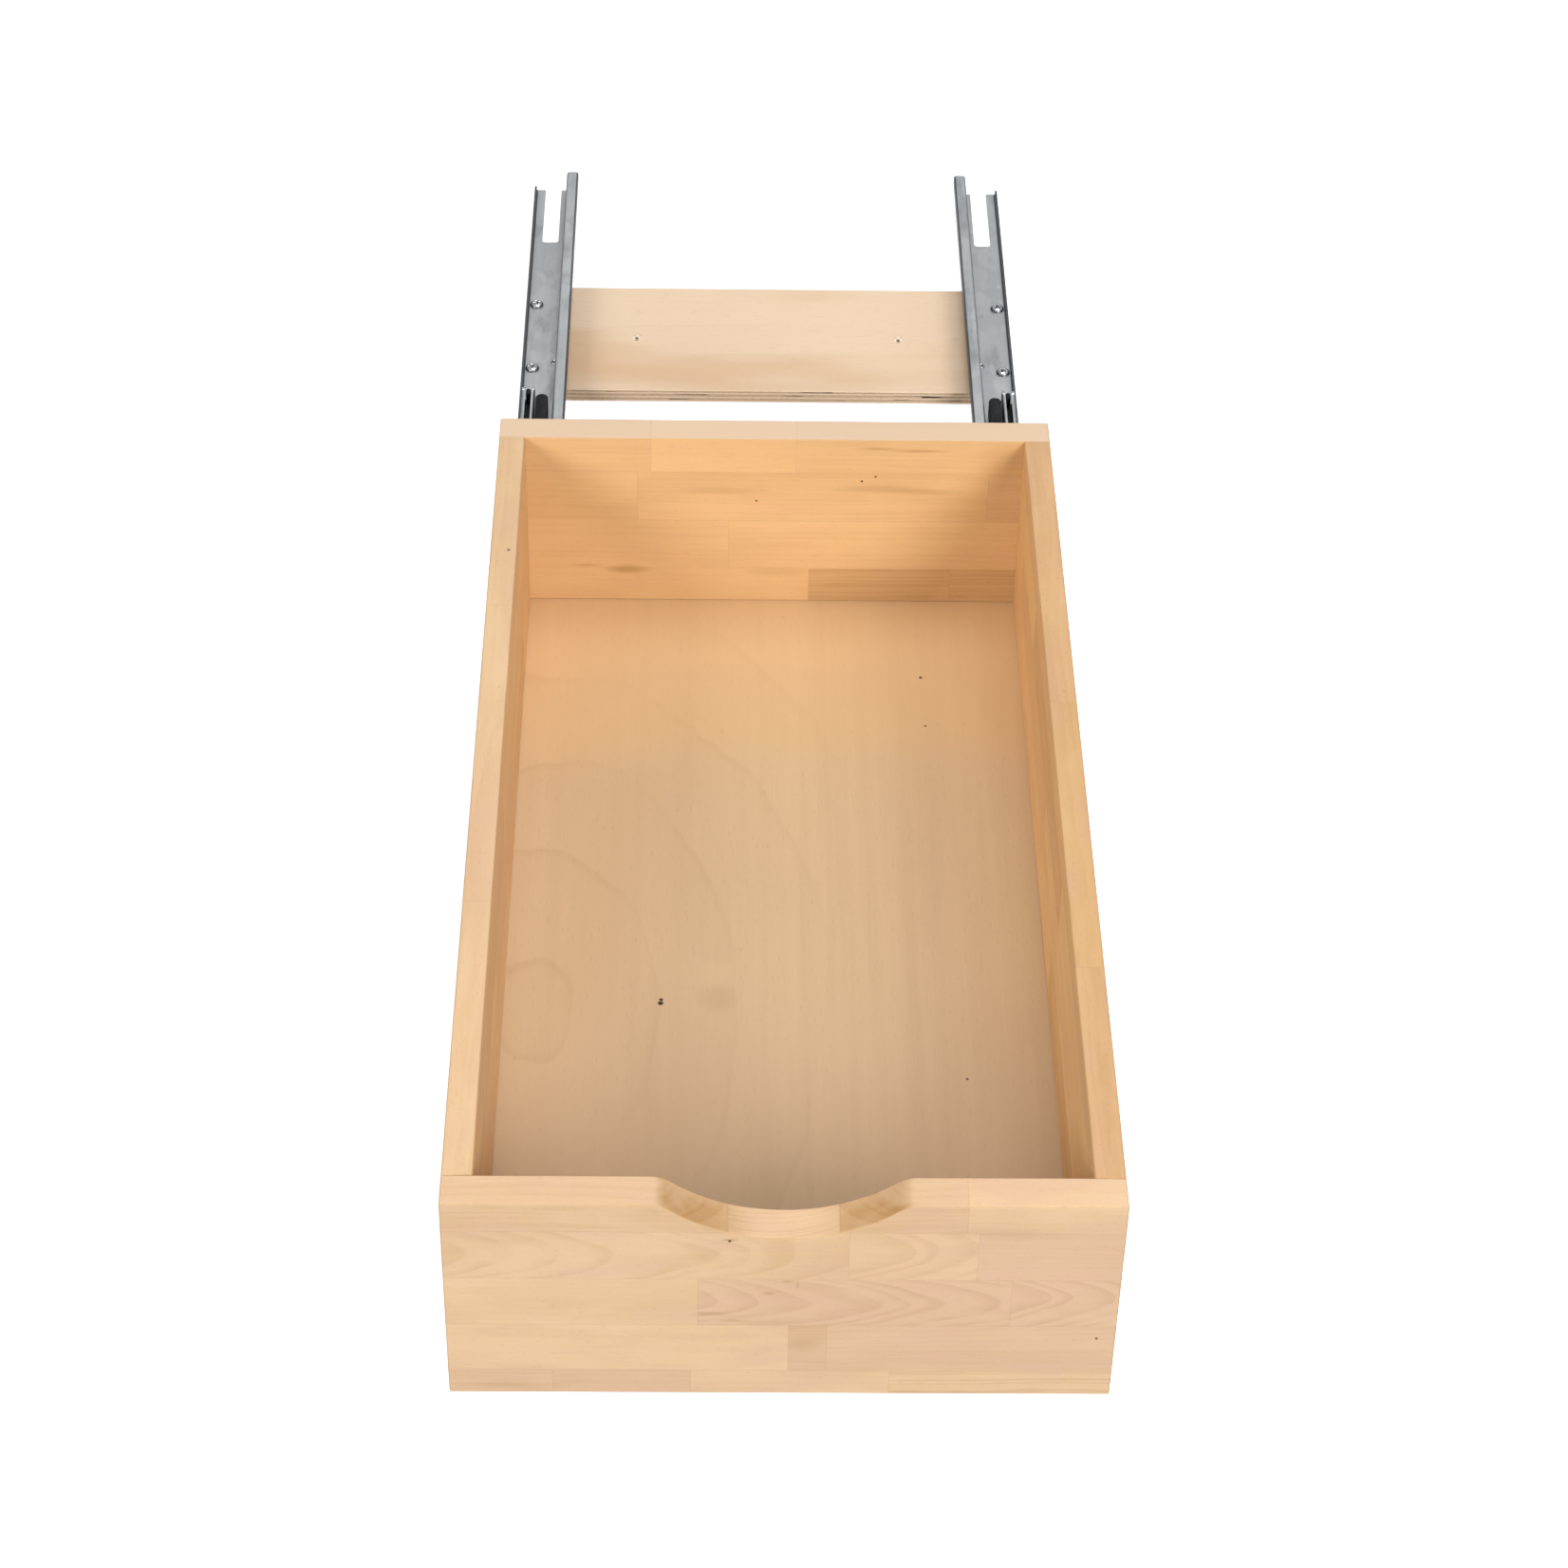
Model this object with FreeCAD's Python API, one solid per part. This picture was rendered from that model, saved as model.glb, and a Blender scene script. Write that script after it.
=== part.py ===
import math
import os

import FreeCAD
import Part

from FreeCAD import Vector

# A wooden pull-out drawer on a pair of full-extension runners that lie underneath it.
# Millimetres. X is across, Y runs from the drawer front to the rear, Z is up.
# The drawer is modelled fully pulled out. The origin is the middle of the footprint, on the
# surface that the two cross boards are screwed to.

# Drawer box
drawer_width = 280.0
drawer_depth = 545.0
drawer_height = 116.0
drawer_base = 32.0            # lower edges above the mounting surface
end_thickness = 16.5          # front and back panels, full width
side_thickness = 13.0         # sides, held between the front and the back
bottom_thickness = 6.0
bottom_rise = 6.0             # underside of the bottom panel above the lower edges
groove_depth = 4.0
groove_play = 0.2
edge_round = 1.2

# Hand cut-out in the top edge of the front
scoop_half_width = 55.0
scoop_depth = 19.5
scoop_entry_radius = 14.0
front_round = 1.6             # edges of the front panel, eased more where hands hold it

# Corner dowels
dowel_diameter = 6.0
dowel_length = 24.0
dowel_heights = (27.0, 61.0, 95.0)

# Cross boards
board_thickness = 8.0
board_depth = 106.0
board_half_width = 142.0
board_inset = 106.0           # from the rail end to the near edge of its board
board_edge_round = 0.6
pilot_diameter = 3.6
pilot_spacing = 154.0

# Runners: distances across are measured outwards from the middle plane
sheet = 1.2                   # steel thickness
bend_radius = 0.5             # inside a bend
rail_length = 545.0
rail_outer = 143.2
rail_inner = 116.1
flange_height = 4.0
track_width = 7.1
track_height = 14.5
track_lip = 6.0               # inner side of the raised track, short so that the shoe hooks under it
notch_outer = 136.5
notch_inner = 126.8
notch_depth = 59.0
notch_corner = 2.0
rail_hole_across = 137.1
rail_hole_offsets = (127.0, 193.0)   # from the rail end
location_hole_across = 124.75
location_hole_diameter = 2.4
location_hole_offset = 186.5

# Middle rail: a lipped channel, open upwards, with a flange towards the middle plane
channel_outer = 141.1
channel_inner = 133.8
channel_base = 12.2
channel_top = 22.0
outer_lip = 2.0
inner_lip = 2.0
flange_inner = 126.0
middle_length = 520.0
middle_flange_gap = 95.0      # the flange stops this far before the rear end

# Drawer rail: a flange under the drawer side and a leg that hangs into the channel
drawer_rail_inset = 25.0
drawer_rail_length = 495.0
leg_outer = 138.6
foot_inner = 135.3
foot_height = 18.6
drawer_flange_inner = 128.2
drawer_screw_across = 133.6
drawer_screw_places = (20.0, 170.0, 320.0, 475.0)   # from the front end of the drawer rail

# Motion
drawer_overhang = 437.0       # drawer front to the front end of the fixed rails, pulled out
middle_overhang = 752.0       # drawer front to the rear end of the middle rails, pulled out

# Carriage between fixed and middle rail: big rollers in a plastic cage
carriage_length = 200.0
carriage_start = 8.0          # from the front end of the fixed rail
carriage_inner = 126.7
carriage_outer = 133.2
carriage_base = 12.0
carriage_top = 18.0
carriage_corner = 2.5
big_roller_diameter = 11.3
big_roller_inner = 127.7
big_roller_outer = 131.9
big_roller_count = 8
roller_play = 0.3
window_ledge = 1.0            # cage material left over each end of a roller window

# Cage between middle and drawer rail: small rollers under the foot of the leg
cage_length = 276.0
cage_half_width = 2.2
cage_thickness = 1.4
small_roller_diameter = 5.0
small_roller_half_width = 1.4
small_roller_count = 14
small_roller_across = 137.45
small_roller_side_play = 0.1
cage_front_gap = 2.0          # between the cage and the rear end of the drawer rail

# Plastic guide shoe at the rear of the middle rail
shoe_length = 88.0
shoe_set_back = 6.0           # from the rear end of the channel
shoe_hook_length = 40.0
shoe_skin = 1.8
shoe_gap = 0.7                # between the round-ended block and the channel
shoe_play = 0.35
shoe_hook_reach = 0.8         # how far the hook goes under the lip of the track
shoe_round = 0.8

# Cage stops
stop_length = 6.0
stop_round = 1.0
channel_stop_height = 3.0
channel_stop_round = 0.8
channel_stop_play = 0.3

# Screws
screw_head_diameter = 8.0
screw_head_height = 2.2
screw_shank_diameter = 3.8
screw_depth = 6.6
small_head_diameter = 6.4
small_head_height = 1.9
small_shank_diameter = 3.0
small_screw_depth = 15.0
recess_length = 4.4
recess_width = 0.9
recess_depth = 1.2

# Cutters reach this far past the surface they cut
overshoot = 1.0

# Worked-out places
overall_length = drawer_overhang + rail_length
drawer_front = -overall_length / 2
rail_front = drawer_front + drawer_overhang
rail_rear = rail_front + rail_length
middle_rear = drawer_front + middle_overhang
middle_front = middle_rear - middle_length
web_top = board_thickness + sheet
track_top = board_thickness + track_height
drawer_top = drawer_base + drawer_height
inner_half = drawer_width / 2 - side_thickness
bottom_base = drawer_base + bottom_rise
bottom_half = inner_half + groove_depth
drawer_rail_front = drawer_front + drawer_rail_inset
board_centres = {
    "front": rail_front + board_inset + board_depth / 2,
    "rear": rail_rear - board_inset - board_depth / 2,
}

nodes = {}


def box(x_range, y_range, z_range):
    size = [high - low for low, high in (x_range, y_range, z_range)]
    return Part.makeBox(*size, Vector(x_range[0], y_range[0], z_range[0]))


def cylinder(radius, start, direction, length):
    return Part.makeCylinder(radius, length, Vector(*start), Vector(*direction))


def other_hand(shape):
    return shape.mirror(Vector(0, 0, 0), Vector(1, 0, 0))


def add_pair(name, right_shape):
    # The right-hand piece is made, and the left-hand one is its mirror image.
    nodes["right_" + name] = right_shape
    nodes["left_" + name] = other_hand(right_shape)


def round_edges(shape, radius, wanted):
    edges = [edge for edge in shape.Edges if wanted(edge.BoundBox)]
    return shape.makeFillet(radius, edges)


def bent_strip(points, thickness, inside_radius):
    # Section of a bent sheet in the XZ plane. The points are the corners of its middle line,
    # and each corner becomes a bend: two arcs about one centre.
    points = [Vector(across, 0, height) for across, height in points]
    runs = [(end - start).normalize() for start, end in zip(points, points[1:])]
    middle_radius = inside_radius + thickness / 2

    def left_of(direction):
        return Vector(-direction.z, 0, direction.x)

    def side_edges(offset):
        edges = []
        start = points[0] + left_of(runs[0]) * offset
        for corner, before, after in zip(points[1:], runs, runs[1:]):
            turn = before.getAngle(after)
            reach = middle_radius * math.tan(turn / 2)
            towards = (after - before).normalize()
            centre = corner + towards * (middle_radius / math.cos(turn / 2))
            bend_start = corner - before * reach + left_of(before) * offset
            bend_end = corner + after * reach + left_of(after) * offset
            halfway = centre - towards * (bend_start - centre).Length
            edges.append(Part.makeLine(start, bend_start))
            edges.append(Part.Arc(bend_start, halfway, bend_end).toShape())
            start = bend_end
        edges.append(Part.makeLine(start, points[-1] + left_of(runs[-1]) * offset))
        return edges

    left = side_edges(thickness / 2)
    right = side_edges(-thickness / 2)
    caps = [
        Part.makeLine(left[0].Vertexes[0].Point, right[0].Vertexes[0].Point),
        Part.makeLine(left[-1].Vertexes[-1].Point, right[-1].Vertexes[-1].Point),
    ]
    wire = Part.Wire(Part.__sortEdges__(left + right + caps))
    return Part.Face(wire)


def bent_sheet(points, start, length):
    section = bent_strip(points, sheet, bend_radius)
    section.translate(Vector(0, start, 0))
    return section.extrude(Vector(0, length, 0))


# --- Drawer box ---

def scoop_cutter(y_start, y_length):
    # Entry rounds at both ends of a wide arc that is tangent to them.
    entry = scoop_entry_radius
    rise = scoop_depth - entry
    arc_radius = (scoop_half_width ** 2 + rise ** 2 - entry ** 2) / (2 * scoop_depth)
    arc_centre = Vector(0, y_start, drawer_top - scoop_depth + arc_radius)
    lowest = Vector(0, y_start, drawer_top - scoop_depth)

    def entry_edge(side):
        centre = Vector(side * scoop_half_width, y_start, drawer_top - entry)
        towards = (arc_centre - centre).normalize()
        crest = centre + Vector(0, 0, entry)
        touch = centre + towards * entry
        halfway = centre + (towards + Vector(0, 0, 1)).normalize() * entry
        return crest, touch, Part.Arc(crest, halfway, touch).toShape()

    left_crest, left_touch, left_entry = entry_edge(-1)
    right_crest, right_touch, right_entry = entry_edge(1)
    above = Vector(0, 0, entry)
    edges = [
        left_entry,
        Part.Arc(left_touch, lowest, right_touch).toShape(),
        right_entry,
        Part.makeLine(right_crest, right_crest + above),
        Part.makeLine(right_crest + above, left_crest + above),
        Part.makeLine(left_crest + above, left_crest),
    ]
    face = Part.Face(Part.Wire(Part.__sortEdges__(edges)))
    return face.extrude(Vector(0, y_length, 0))


def dowels(y_middle):
    across = drawer_width / 2 - side_thickness / 2
    return [
        cylinder(dowel_diameter / 2, (side * across, y_middle - dowel_length / 2, drawer_base + height),
                 (0, 1, 0), dowel_length)
        for side in (-1, 1)
        for height in dowel_heights
    ]


def bottom_groove():
    # The space in the four panels that the edges of the bottom panel sit in.
    front = drawer_front + end_thickness - groove_depth
    rear = drawer_front + drawer_depth - end_thickness + groove_depth
    return box((-bottom_half, bottom_half), (front, rear), (bottom_base, bottom_base + bottom_thickness))


def end_panel(y_outer, y_inner, radius, cutters):
    # Front or back panel. The whole outline of its outer face is eased, and the top of its inner face.
    half = drawer_width / 2
    panel = box((-half, half), sorted((y_outer, y_inner)), (drawer_base, drawer_top))
    panel = panel.cut(cutters) if cutters else panel

    def in_plane(bounds, y_plane):
        return abs(bounds.YMin - y_plane) < 0.01 and abs(bounds.YMax - y_plane) < 0.01

    def eased(bounds):
        return in_plane(bounds, y_outer) or (in_plane(bounds, y_inner) and bounds.ZMin > drawer_base + 1)

    return round_edges(panel, radius, eased)


def side_panel(screw_points):
    length = drawer_depth - 2 * end_thickness
    y_start = drawer_front + end_thickness
    panel = box((inner_half, drawer_width / 2), (y_start, y_start + length), (drawer_base, drawer_top))

    def long_top_edge(bounds):
        return bounds.ZMin > drawer_top - 0.01 and bounds.YLength > length / 2

    panel = round_edges(panel, edge_round, long_top_edge)
    pilots = [
        cylinder(small_shank_diameter / 2, (across, y_place, drawer_base), (0, 0, 1), small_screw_depth)
        for across, y_place in screw_points
    ]
    return panel.cut(pilots)


def make_drawer_box():
    drawer_rear = drawer_front + drawer_depth
    front_joint = drawer_front + end_thickness
    rear_joint = drawer_rear - end_thickness
    front_dowels = dowels(front_joint)
    rear_dowels = dowels(rear_joint)
    groove = bottom_groove()

    scoop = scoop_cutter(drawer_front - overshoot, end_thickness + 2 * overshoot)
    front = end_panel(drawer_front, front_joint, front_round, [scoop])
    back = end_panel(drawer_rear, rear_joint, edge_round, [])
    nodes["front_panel"] = front.cut([groove] + front_dowels)
    nodes["back_panel"] = back.cut([groove] + rear_dowels)

    screw_points = [
        (drawer_screw_across, drawer_rail_front + place) for place in drawer_screw_places
    ]
    right_side = side_panel(screw_points).cut([groove] + front_dowels + rear_dowels)
    add_pair("side_panel", right_side)

    half = bottom_half - groove_play
    reach = groove_depth - groove_play
    nodes["bottom_panel"] = box((-half, half), (front_joint - reach, rear_joint + reach),
                                (bottom_base, bottom_base + bottom_thickness))
    nodes["front_dowels"] = Part.makeCompound(front_dowels)
    nodes["rear_dowels"] = Part.makeCompound(rear_dowels)


# --- Screws ---

def screw(across, y_place, seat, up, head_size, shank_size):
    # Pan-head cross-recess screw. The head stands on the seat height, on the side that up names.
    head_diameter, head_height = head_size
    shank_diameter, depth = shank_size
    dome = head_height * 0.5
    head = cylinder(head_diameter / 2, (across, y_place, seat), (0, 0, up), head_height)
    rim = [edge for edge in head.Edges
           if edge.BoundBox.ZLength < 0.01 and abs(edge.BoundBox.Center.z - seat) > head_height / 2]
    head = head.makeFillet(dome, rim)
    crown = seat + up * head_height
    for half_x, half_y in ((recess_length / 2, recess_width / 2), (recess_width / 2, recess_length / 2)):
        low, high = sorted((crown - up * recess_depth, crown + up * overshoot))
        head = head.cut(box((across - half_x, across + half_x), (y_place - half_y, y_place + half_y),
                            (low, high)))
    shank = cylinder(shank_diameter / 2, (across, y_place, seat), (0, 0, -up), depth)
    return head.fuse(shank).removeSplitter()


def board_screw_places(end):
    if end == "front":
        y_places = [rail_front + offset for offset in rail_hole_offsets]
    else:
        y_places = [rail_rear - offset for offset in rail_hole_offsets]
    return [(side * rail_hole_across, y_place) for side in (-1, 1) for y_place in y_places]


def make_board_screws():
    for end in board_centres:
        nodes[end + "_board_screws"] = Part.makeCompound([
            screw(across, y_place, web_top, 1, (screw_head_diameter, screw_head_height),
                  (screw_shank_diameter, sheet + screw_depth))
            for across, y_place in board_screw_places(end)
        ])


def make_drawer_rail_screws():
    nodes["drawer_rail_screws"] = Part.makeCompound([
        screw(side * drawer_screw_across, drawer_rail_front + place, drawer_base - sheet, -1,
              (small_head_diameter, small_head_height),
              (small_shank_diameter, sheet + small_screw_depth))
        for side in (-1, 1)
        for place in drawer_screw_places
    ])


# --- Base ---

def make_boards():
    for end, y_centre in board_centres.items():
        y_range = (y_centre - board_depth / 2, y_centre + board_depth / 2)
        board = box((-board_half_width, board_half_width), y_range, (0, board_thickness))

        def long_edge(bounds):
            return bounds.XLength > board_half_width

        board = round_edges(board, board_edge_round, long_edge)
        pilots = [
            cylinder(pilot_diameter / 2, (side * pilot_spacing / 2, y_centre, 0), (0, 0, 1), board_thickness)
            for side in (-1, 1)
        ]
        screw_holes = [
            cylinder(screw_shank_diameter / 2, (across, y_place, board_thickness), (0, 0, -1), screw_depth)
            for across, y_place in board_screw_places(end)
        ]
        nodes[end + "_board"] = board.cut(pilots + screw_holes)


def make_fixed_rails():
    half = sheet / 2
    web = board_thickness + half
    track_outer = rail_inner + track_width
    rail = bent_sheet(
        [
            (rail_outer - half, board_thickness + flange_height),
            (rail_outer - half, web),
            (track_outer - half, web),
            (track_outer - half, track_top - half),
            (rail_inner + half, track_top - half),
            (rail_inner + half, track_top - track_lip),
        ],
        rail_front, rail_length)
    notch = box((notch_inner, notch_outer), (rail_rear - notch_depth, rail_rear + overshoot),
                (board_thickness - overshoot, web_top + overshoot))
    notch = round_edges(notch, notch_corner,
                        lambda bounds: bounds.ZLength > sheet and bounds.YMax < rail_rear)
    screw_holes = [
        cylinder(screw_shank_diameter / 2, (across, y_place, board_thickness - overshoot), (0, 0, 1),
                 sheet + 2 * overshoot)
        for end in board_centres
        for across, y_place in board_screw_places(end)
        if across > 0
    ]
    location_holes = [
        cylinder(location_hole_diameter / 2, (location_hole_across, y_place, board_thickness - overshoot),
                 (0, 0, 1), sheet + 2 * overshoot)
        for y_place in (rail_front + location_hole_offset, rail_rear - location_hole_offset)
    ]
    add_pair("fixed_rail", rail.cut([notch] + screw_holes + location_holes))


def make_carriage_stops():
    # Rubber buffer on the web, in front of the carriage.
    block = box((carriage_inner, big_roller_outer), (rail_front, rail_front + stop_length),
                (web_top, carriage_top))
    block = round_edges(block, stop_round, lambda bounds: bounds.YLength > stop_length / 2
                        and bounds.ZMin > carriage_top - 0.01)
    add_pair("carriage_stop", block)


# --- Moving pieces of the runners ---

def make_middle_rails():
    half = sheet / 2
    top = channel_top - half
    rail = bent_sheet(
        [
            (channel_outer - outer_lip, top),
            (channel_outer - half, top),
            (channel_outer - half, channel_base + half),
            (channel_inner + half, channel_base + half),
            (channel_inner + half, top),
            (channel_inner + inner_lip, top),
        ],
        middle_front, middle_length)
    # The flange is a second sheet, spot-welded flush with the inner lip.
    flange = box((flange_inner, channel_inner + half), (middle_front, middle_rear - middle_flange_gap),
                 (channel_top - sheet, channel_top))
    add_pair("middle_rail", rail.fuse(flange).removeSplitter())


def make_carriages():
    y_start = rail_front + carriage_start
    cage = box((carriage_inner, carriage_outer), (y_start, y_start + carriage_length),
               (carriage_base, carriage_top))
    cage = round_edges(cage, carriage_corner, lambda bounds: bounds.ZLength > carriage_top - carriage_base - 0.01)
    axis_height = (web_top + channel_top - sheet) / 2
    pitch = carriage_length / big_roller_count
    rollers = []
    windows = []
    for index in range(big_roller_count):
        y_place = y_start + (index + 0.5) * pitch
        rollers.append(cylinder(big_roller_diameter / 2, (big_roller_inner, y_place, axis_height),
                                (1, 0, 0), big_roller_outer - big_roller_inner))
        windows.append(cylinder(big_roller_diameter / 2 + roller_play,
                                (big_roller_inner - roller_play, y_place, axis_height),
                                (1, 0, 0), big_roller_outer - big_roller_inner + 2 * roller_play))
        windows.append(box((big_roller_inner - roller_play, big_roller_outer + roller_play),
                           (y_place - big_roller_diameter / 2 + window_ledge,
                            y_place + big_roller_diameter / 2 - window_ledge),
                           (carriage_base - overshoot, carriage_top + overshoot)))
    add_pair("carriage", cage.cut(windows))
    add_pair("carriage_rollers", Part.makeCompound(rollers))


def make_channel_cages():
    overlap_rear = drawer_rail_front + drawer_rail_length
    y_start = overlap_rear - cage_length - cage_front_gap
    floor = channel_base + sheet
    axis_height = (floor + foot_height) / 2
    cage = box((small_roller_across - cage_half_width, small_roller_across + cage_half_width),
               (y_start, y_start + cage_length),
               (axis_height - cage_thickness / 2, axis_height + cage_thickness / 2))
    pitch = cage_length / small_roller_count
    rollers = []
    windows = []
    for index in range(small_roller_count):
        y_place = y_start + (index + 0.5) * pitch
        start = (small_roller_across - small_roller_half_width, y_place, axis_height)
        rollers.append(cylinder(small_roller_diameter / 2, start, (1, 0, 0), 2 * small_roller_half_width))
        reach = small_roller_diameter / 2 + roller_play / 2
        side = small_roller_half_width + small_roller_side_play
        windows.append(box((small_roller_across - side, small_roller_across + side),
                           (y_place - reach, y_place + reach),
                           (axis_height - cage_thickness, axis_height + cage_thickness)))
    add_pair("channel_cage", cage.cut(windows))
    add_pair("channel_rollers", Part.makeCompound(rollers))


def make_channel_stops():
    # Rubber buffer on the channel floor, lower than the foot of the drawer rail.
    floor = channel_base + sheet
    play = sheet + channel_stop_play
    block = box((channel_inner + play, channel_outer - play),
                (middle_front, middle_front + stop_length), (floor, floor + channel_stop_height))
    block = round_edges(block, channel_stop_round, lambda bounds: bounds.XLength > 1
                        and bounds.ZMin > floor + channel_stop_height - 0.01)
    add_pair("channel_stop", block)


def make_guide_shoes():
    # One moulding on the middle rail: a round-ended block beside the channel, and ahead of it
    # a bridge over the raised track that hooks under the lip of the track.
    y_rear = middle_rear - shoe_set_back
    y_front = y_rear - shoe_length
    width = channel_inner - shoe_gap - flange_inner
    block = box((flange_inner, flange_inner + width), (y_front, y_rear - width / 2),
                (carriage_base, channel_top))
    end = cylinder(width / 2, (flange_inner + width / 2, y_rear - width / 2, carriage_base), (0, 0, 1),
                   channel_top - carriage_base)
    hook_end = y_front + shoe_hook_length
    ceiling = track_top + shoe_play
    lip_end = track_top - track_lip
    wall_outer = rail_inner - shoe_play
    wall_inner = wall_outer - shoe_skin
    bridge = box((wall_inner, channel_inner), (y_front, hook_end), (ceiling, ceiling + shoe_skin))
    post = box((flange_inner, channel_inner), (y_front, hook_end), (carriage_base, ceiling + shoe_skin))
    wall = box((wall_inner, wall_outer), (y_front, hook_end),
               (lip_end - shoe_play - shoe_skin, ceiling + shoe_skin))
    hook = box((wall_inner, rail_inner + sheet + shoe_hook_reach), (y_front, hook_end),
               (lip_end - shoe_play - shoe_skin, lip_end - shoe_play))
    nose = block.fuse(end).removeSplitter()

    def top_outline(bounds):
        return bounds.ZMin > channel_top - 0.01 and bounds.YMax > y_front + 0.01

    nose = round_edges(nose, shoe_round, top_outline)
    shoe = nose.fuse([bridge, post, wall, hook]).removeSplitter()
    add_pair("guide_shoe", shoe)


def make_drawer_rails():
    half = sheet / 2
    rail = bent_sheet(
        [
            (drawer_flange_inner, drawer_base - half),
            (leg_outer - half, drawer_base - half),
            (leg_outer - half, foot_height + half),
            (foot_inner, foot_height + half),
        ],
        drawer_rail_front, drawer_rail_length)
    holes = [
        cylinder(small_shank_diameter / 2,
                 (drawer_screw_across, drawer_rail_front + place, drawer_base - sheet - overshoot),
                 (0, 0, 1), sheet + 2 * overshoot)
        for place in drawer_screw_places
    ]
    add_pair("drawer_rail", rail.cut(holes))


make_drawer_box()
make_boards()
make_board_screws()
make_fixed_rails()
make_carriage_stops()
make_middle_rails()
make_carriages()
make_channel_cages()
make_channel_stops()
make_guide_shoes()
make_drawer_rails()
make_drawer_rail_screws()

os.makedirs("parts", exist_ok=True)
for name, shape in nodes.items():
    shape.exportStep(os.path.join("parts", name + ".step"))
    bounds = shape.BoundBox
    print("%-22s solids %2d  valid %s  volume %9.0f  x %.1f..%.1f  y %.1f..%.1f  z %.1f..%.1f" % (
        name, len(shape.Solids), shape.isValid(), shape.Volume, bounds.XMin, bounds.XMax,
        bounds.YMin, bounds.YMax, bounds.ZMin, bounds.ZMax))
print("nodes", len(nodes))
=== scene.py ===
import math

import bpy
import numpy as np
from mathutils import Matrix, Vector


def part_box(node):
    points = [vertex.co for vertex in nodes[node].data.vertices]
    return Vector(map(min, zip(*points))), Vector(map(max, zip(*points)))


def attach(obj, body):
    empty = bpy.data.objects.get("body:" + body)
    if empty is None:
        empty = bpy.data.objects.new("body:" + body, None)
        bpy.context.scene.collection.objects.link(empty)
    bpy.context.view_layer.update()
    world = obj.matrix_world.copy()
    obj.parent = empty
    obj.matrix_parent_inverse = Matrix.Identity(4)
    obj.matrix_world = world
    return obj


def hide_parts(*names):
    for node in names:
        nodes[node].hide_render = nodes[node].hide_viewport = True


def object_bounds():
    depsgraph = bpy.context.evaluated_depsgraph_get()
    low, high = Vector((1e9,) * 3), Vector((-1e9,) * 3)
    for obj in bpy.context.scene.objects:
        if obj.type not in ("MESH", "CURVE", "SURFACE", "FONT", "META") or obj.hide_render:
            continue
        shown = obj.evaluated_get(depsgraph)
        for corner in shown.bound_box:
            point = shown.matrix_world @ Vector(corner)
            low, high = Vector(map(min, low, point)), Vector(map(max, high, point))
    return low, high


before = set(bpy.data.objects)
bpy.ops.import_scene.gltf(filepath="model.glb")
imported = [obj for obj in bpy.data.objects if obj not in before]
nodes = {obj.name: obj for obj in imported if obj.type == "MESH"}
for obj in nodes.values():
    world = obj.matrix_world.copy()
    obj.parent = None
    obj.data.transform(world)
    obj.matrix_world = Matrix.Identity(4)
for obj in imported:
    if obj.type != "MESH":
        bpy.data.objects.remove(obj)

# A wooden drawer on bottom-mounted runners, in metres.
# X is across, Y runs from the drawer front to the rear, Z is up.

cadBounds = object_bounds()
print("frame:", len(nodes), "nodes")


# Mesh helpers

mergeStep = 1e-6          # points closer than this become one
mergeShift = 0.137        # keeps round measures away from the edge between two steps
sharpAngle = math.radians(40)


def makePiece(name, points, quads, material, pointValues=None, faceValues=None, cornerValues=None):
    # Joins equal points, so that seams and poles close, and drops the corners that fall together.
    # A face needs three different corners to stay. The signed volume says which way is outwards.
    rounded = np.round(points / mergeStep + mergeShift).astype(np.int64)
    first, inverse = np.unique(rounded, axis=0, return_index=True, return_inverse=True)[1:]
    corners = inverse.reshape(-1)[quads]
    real = corners != np.roll(corners, 1, axis=1)
    keep = real.sum(axis=1) > 2
    corners = corners[keep]
    real = real[keep]
    a, b, c, d = [points[first][corners[:, k]] for k in range(4)]
    volume = np.einsum("ij,ij->", a, np.cross(b, c)) + np.einsum("ij,ij->", a, np.cross(c, d))
    turned = volume < 0
    order = [3, 2, 1, 0] if turned else [0, 1, 2, 3]
    corners = corners[:, order]
    real = real[:, order]
    counts = real.sum(axis=1)
    starts = np.concatenate([[0], np.cumsum(counts)[:-1]])

    mesh = bpy.data.meshes.new(name)
    mesh.vertices.add(len(first))
    mesh.vertices.foreach_set("co", points[first].astype(np.float32).ravel())
    mesh.loops.add(int(counts.sum()))
    mesh.loops.foreach_set("vertex_index", corners[real].astype(np.int32))
    mesh.polygons.add(len(counts))
    mesh.polygons.foreach_set("loop_start", starts.astype(np.int32))
    mesh.update(calc_edges=True)

    def store(label, values, domain):
        single = values.ndim == 1
        layer = mesh.attributes.new(label, "FLOAT" if single else "FLOAT_VECTOR", domain)
        layer.data.foreach_set("value" if single else "vector", values.astype(np.float32).ravel())

    for label, values in (pointValues or {}).items():
        store(label, values[first], "POINT")
    for label, values in (faceValues or {}).items():
        store(label, values[keep], "FACE")
    for label, values in (cornerValues or {}).items():
        store(label, values[keep][:, order][real], "CORNER")
    mesh.polygons.foreach_set("use_smooth", np.ones(len(counts), bool))
    mesh.set_sharp_from_angle(angle=sharpAngle)
    mesh.materials.append(material)
    piece = bpy.data.objects.new(name, mesh)
    bpy.context.scene.collection.objects.link(piece)
    return piece


def gridQuads(rows, columns, closed=False):
    # Corner numbers of a grid of points. A closed grid joins its last column to its first.
    numbers = np.arange(rows * columns).reshape(rows, columns)
    if closed:
        numbers = np.concatenate([numbers, numbers[:, :1]], axis=1)
    corners = [numbers[:-1, :-1], numbers[:-1, 1:], numbers[1:, 1:], numbers[1:, :-1]]
    return np.stack(corners, axis=-1).reshape(-1, 4)


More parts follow.
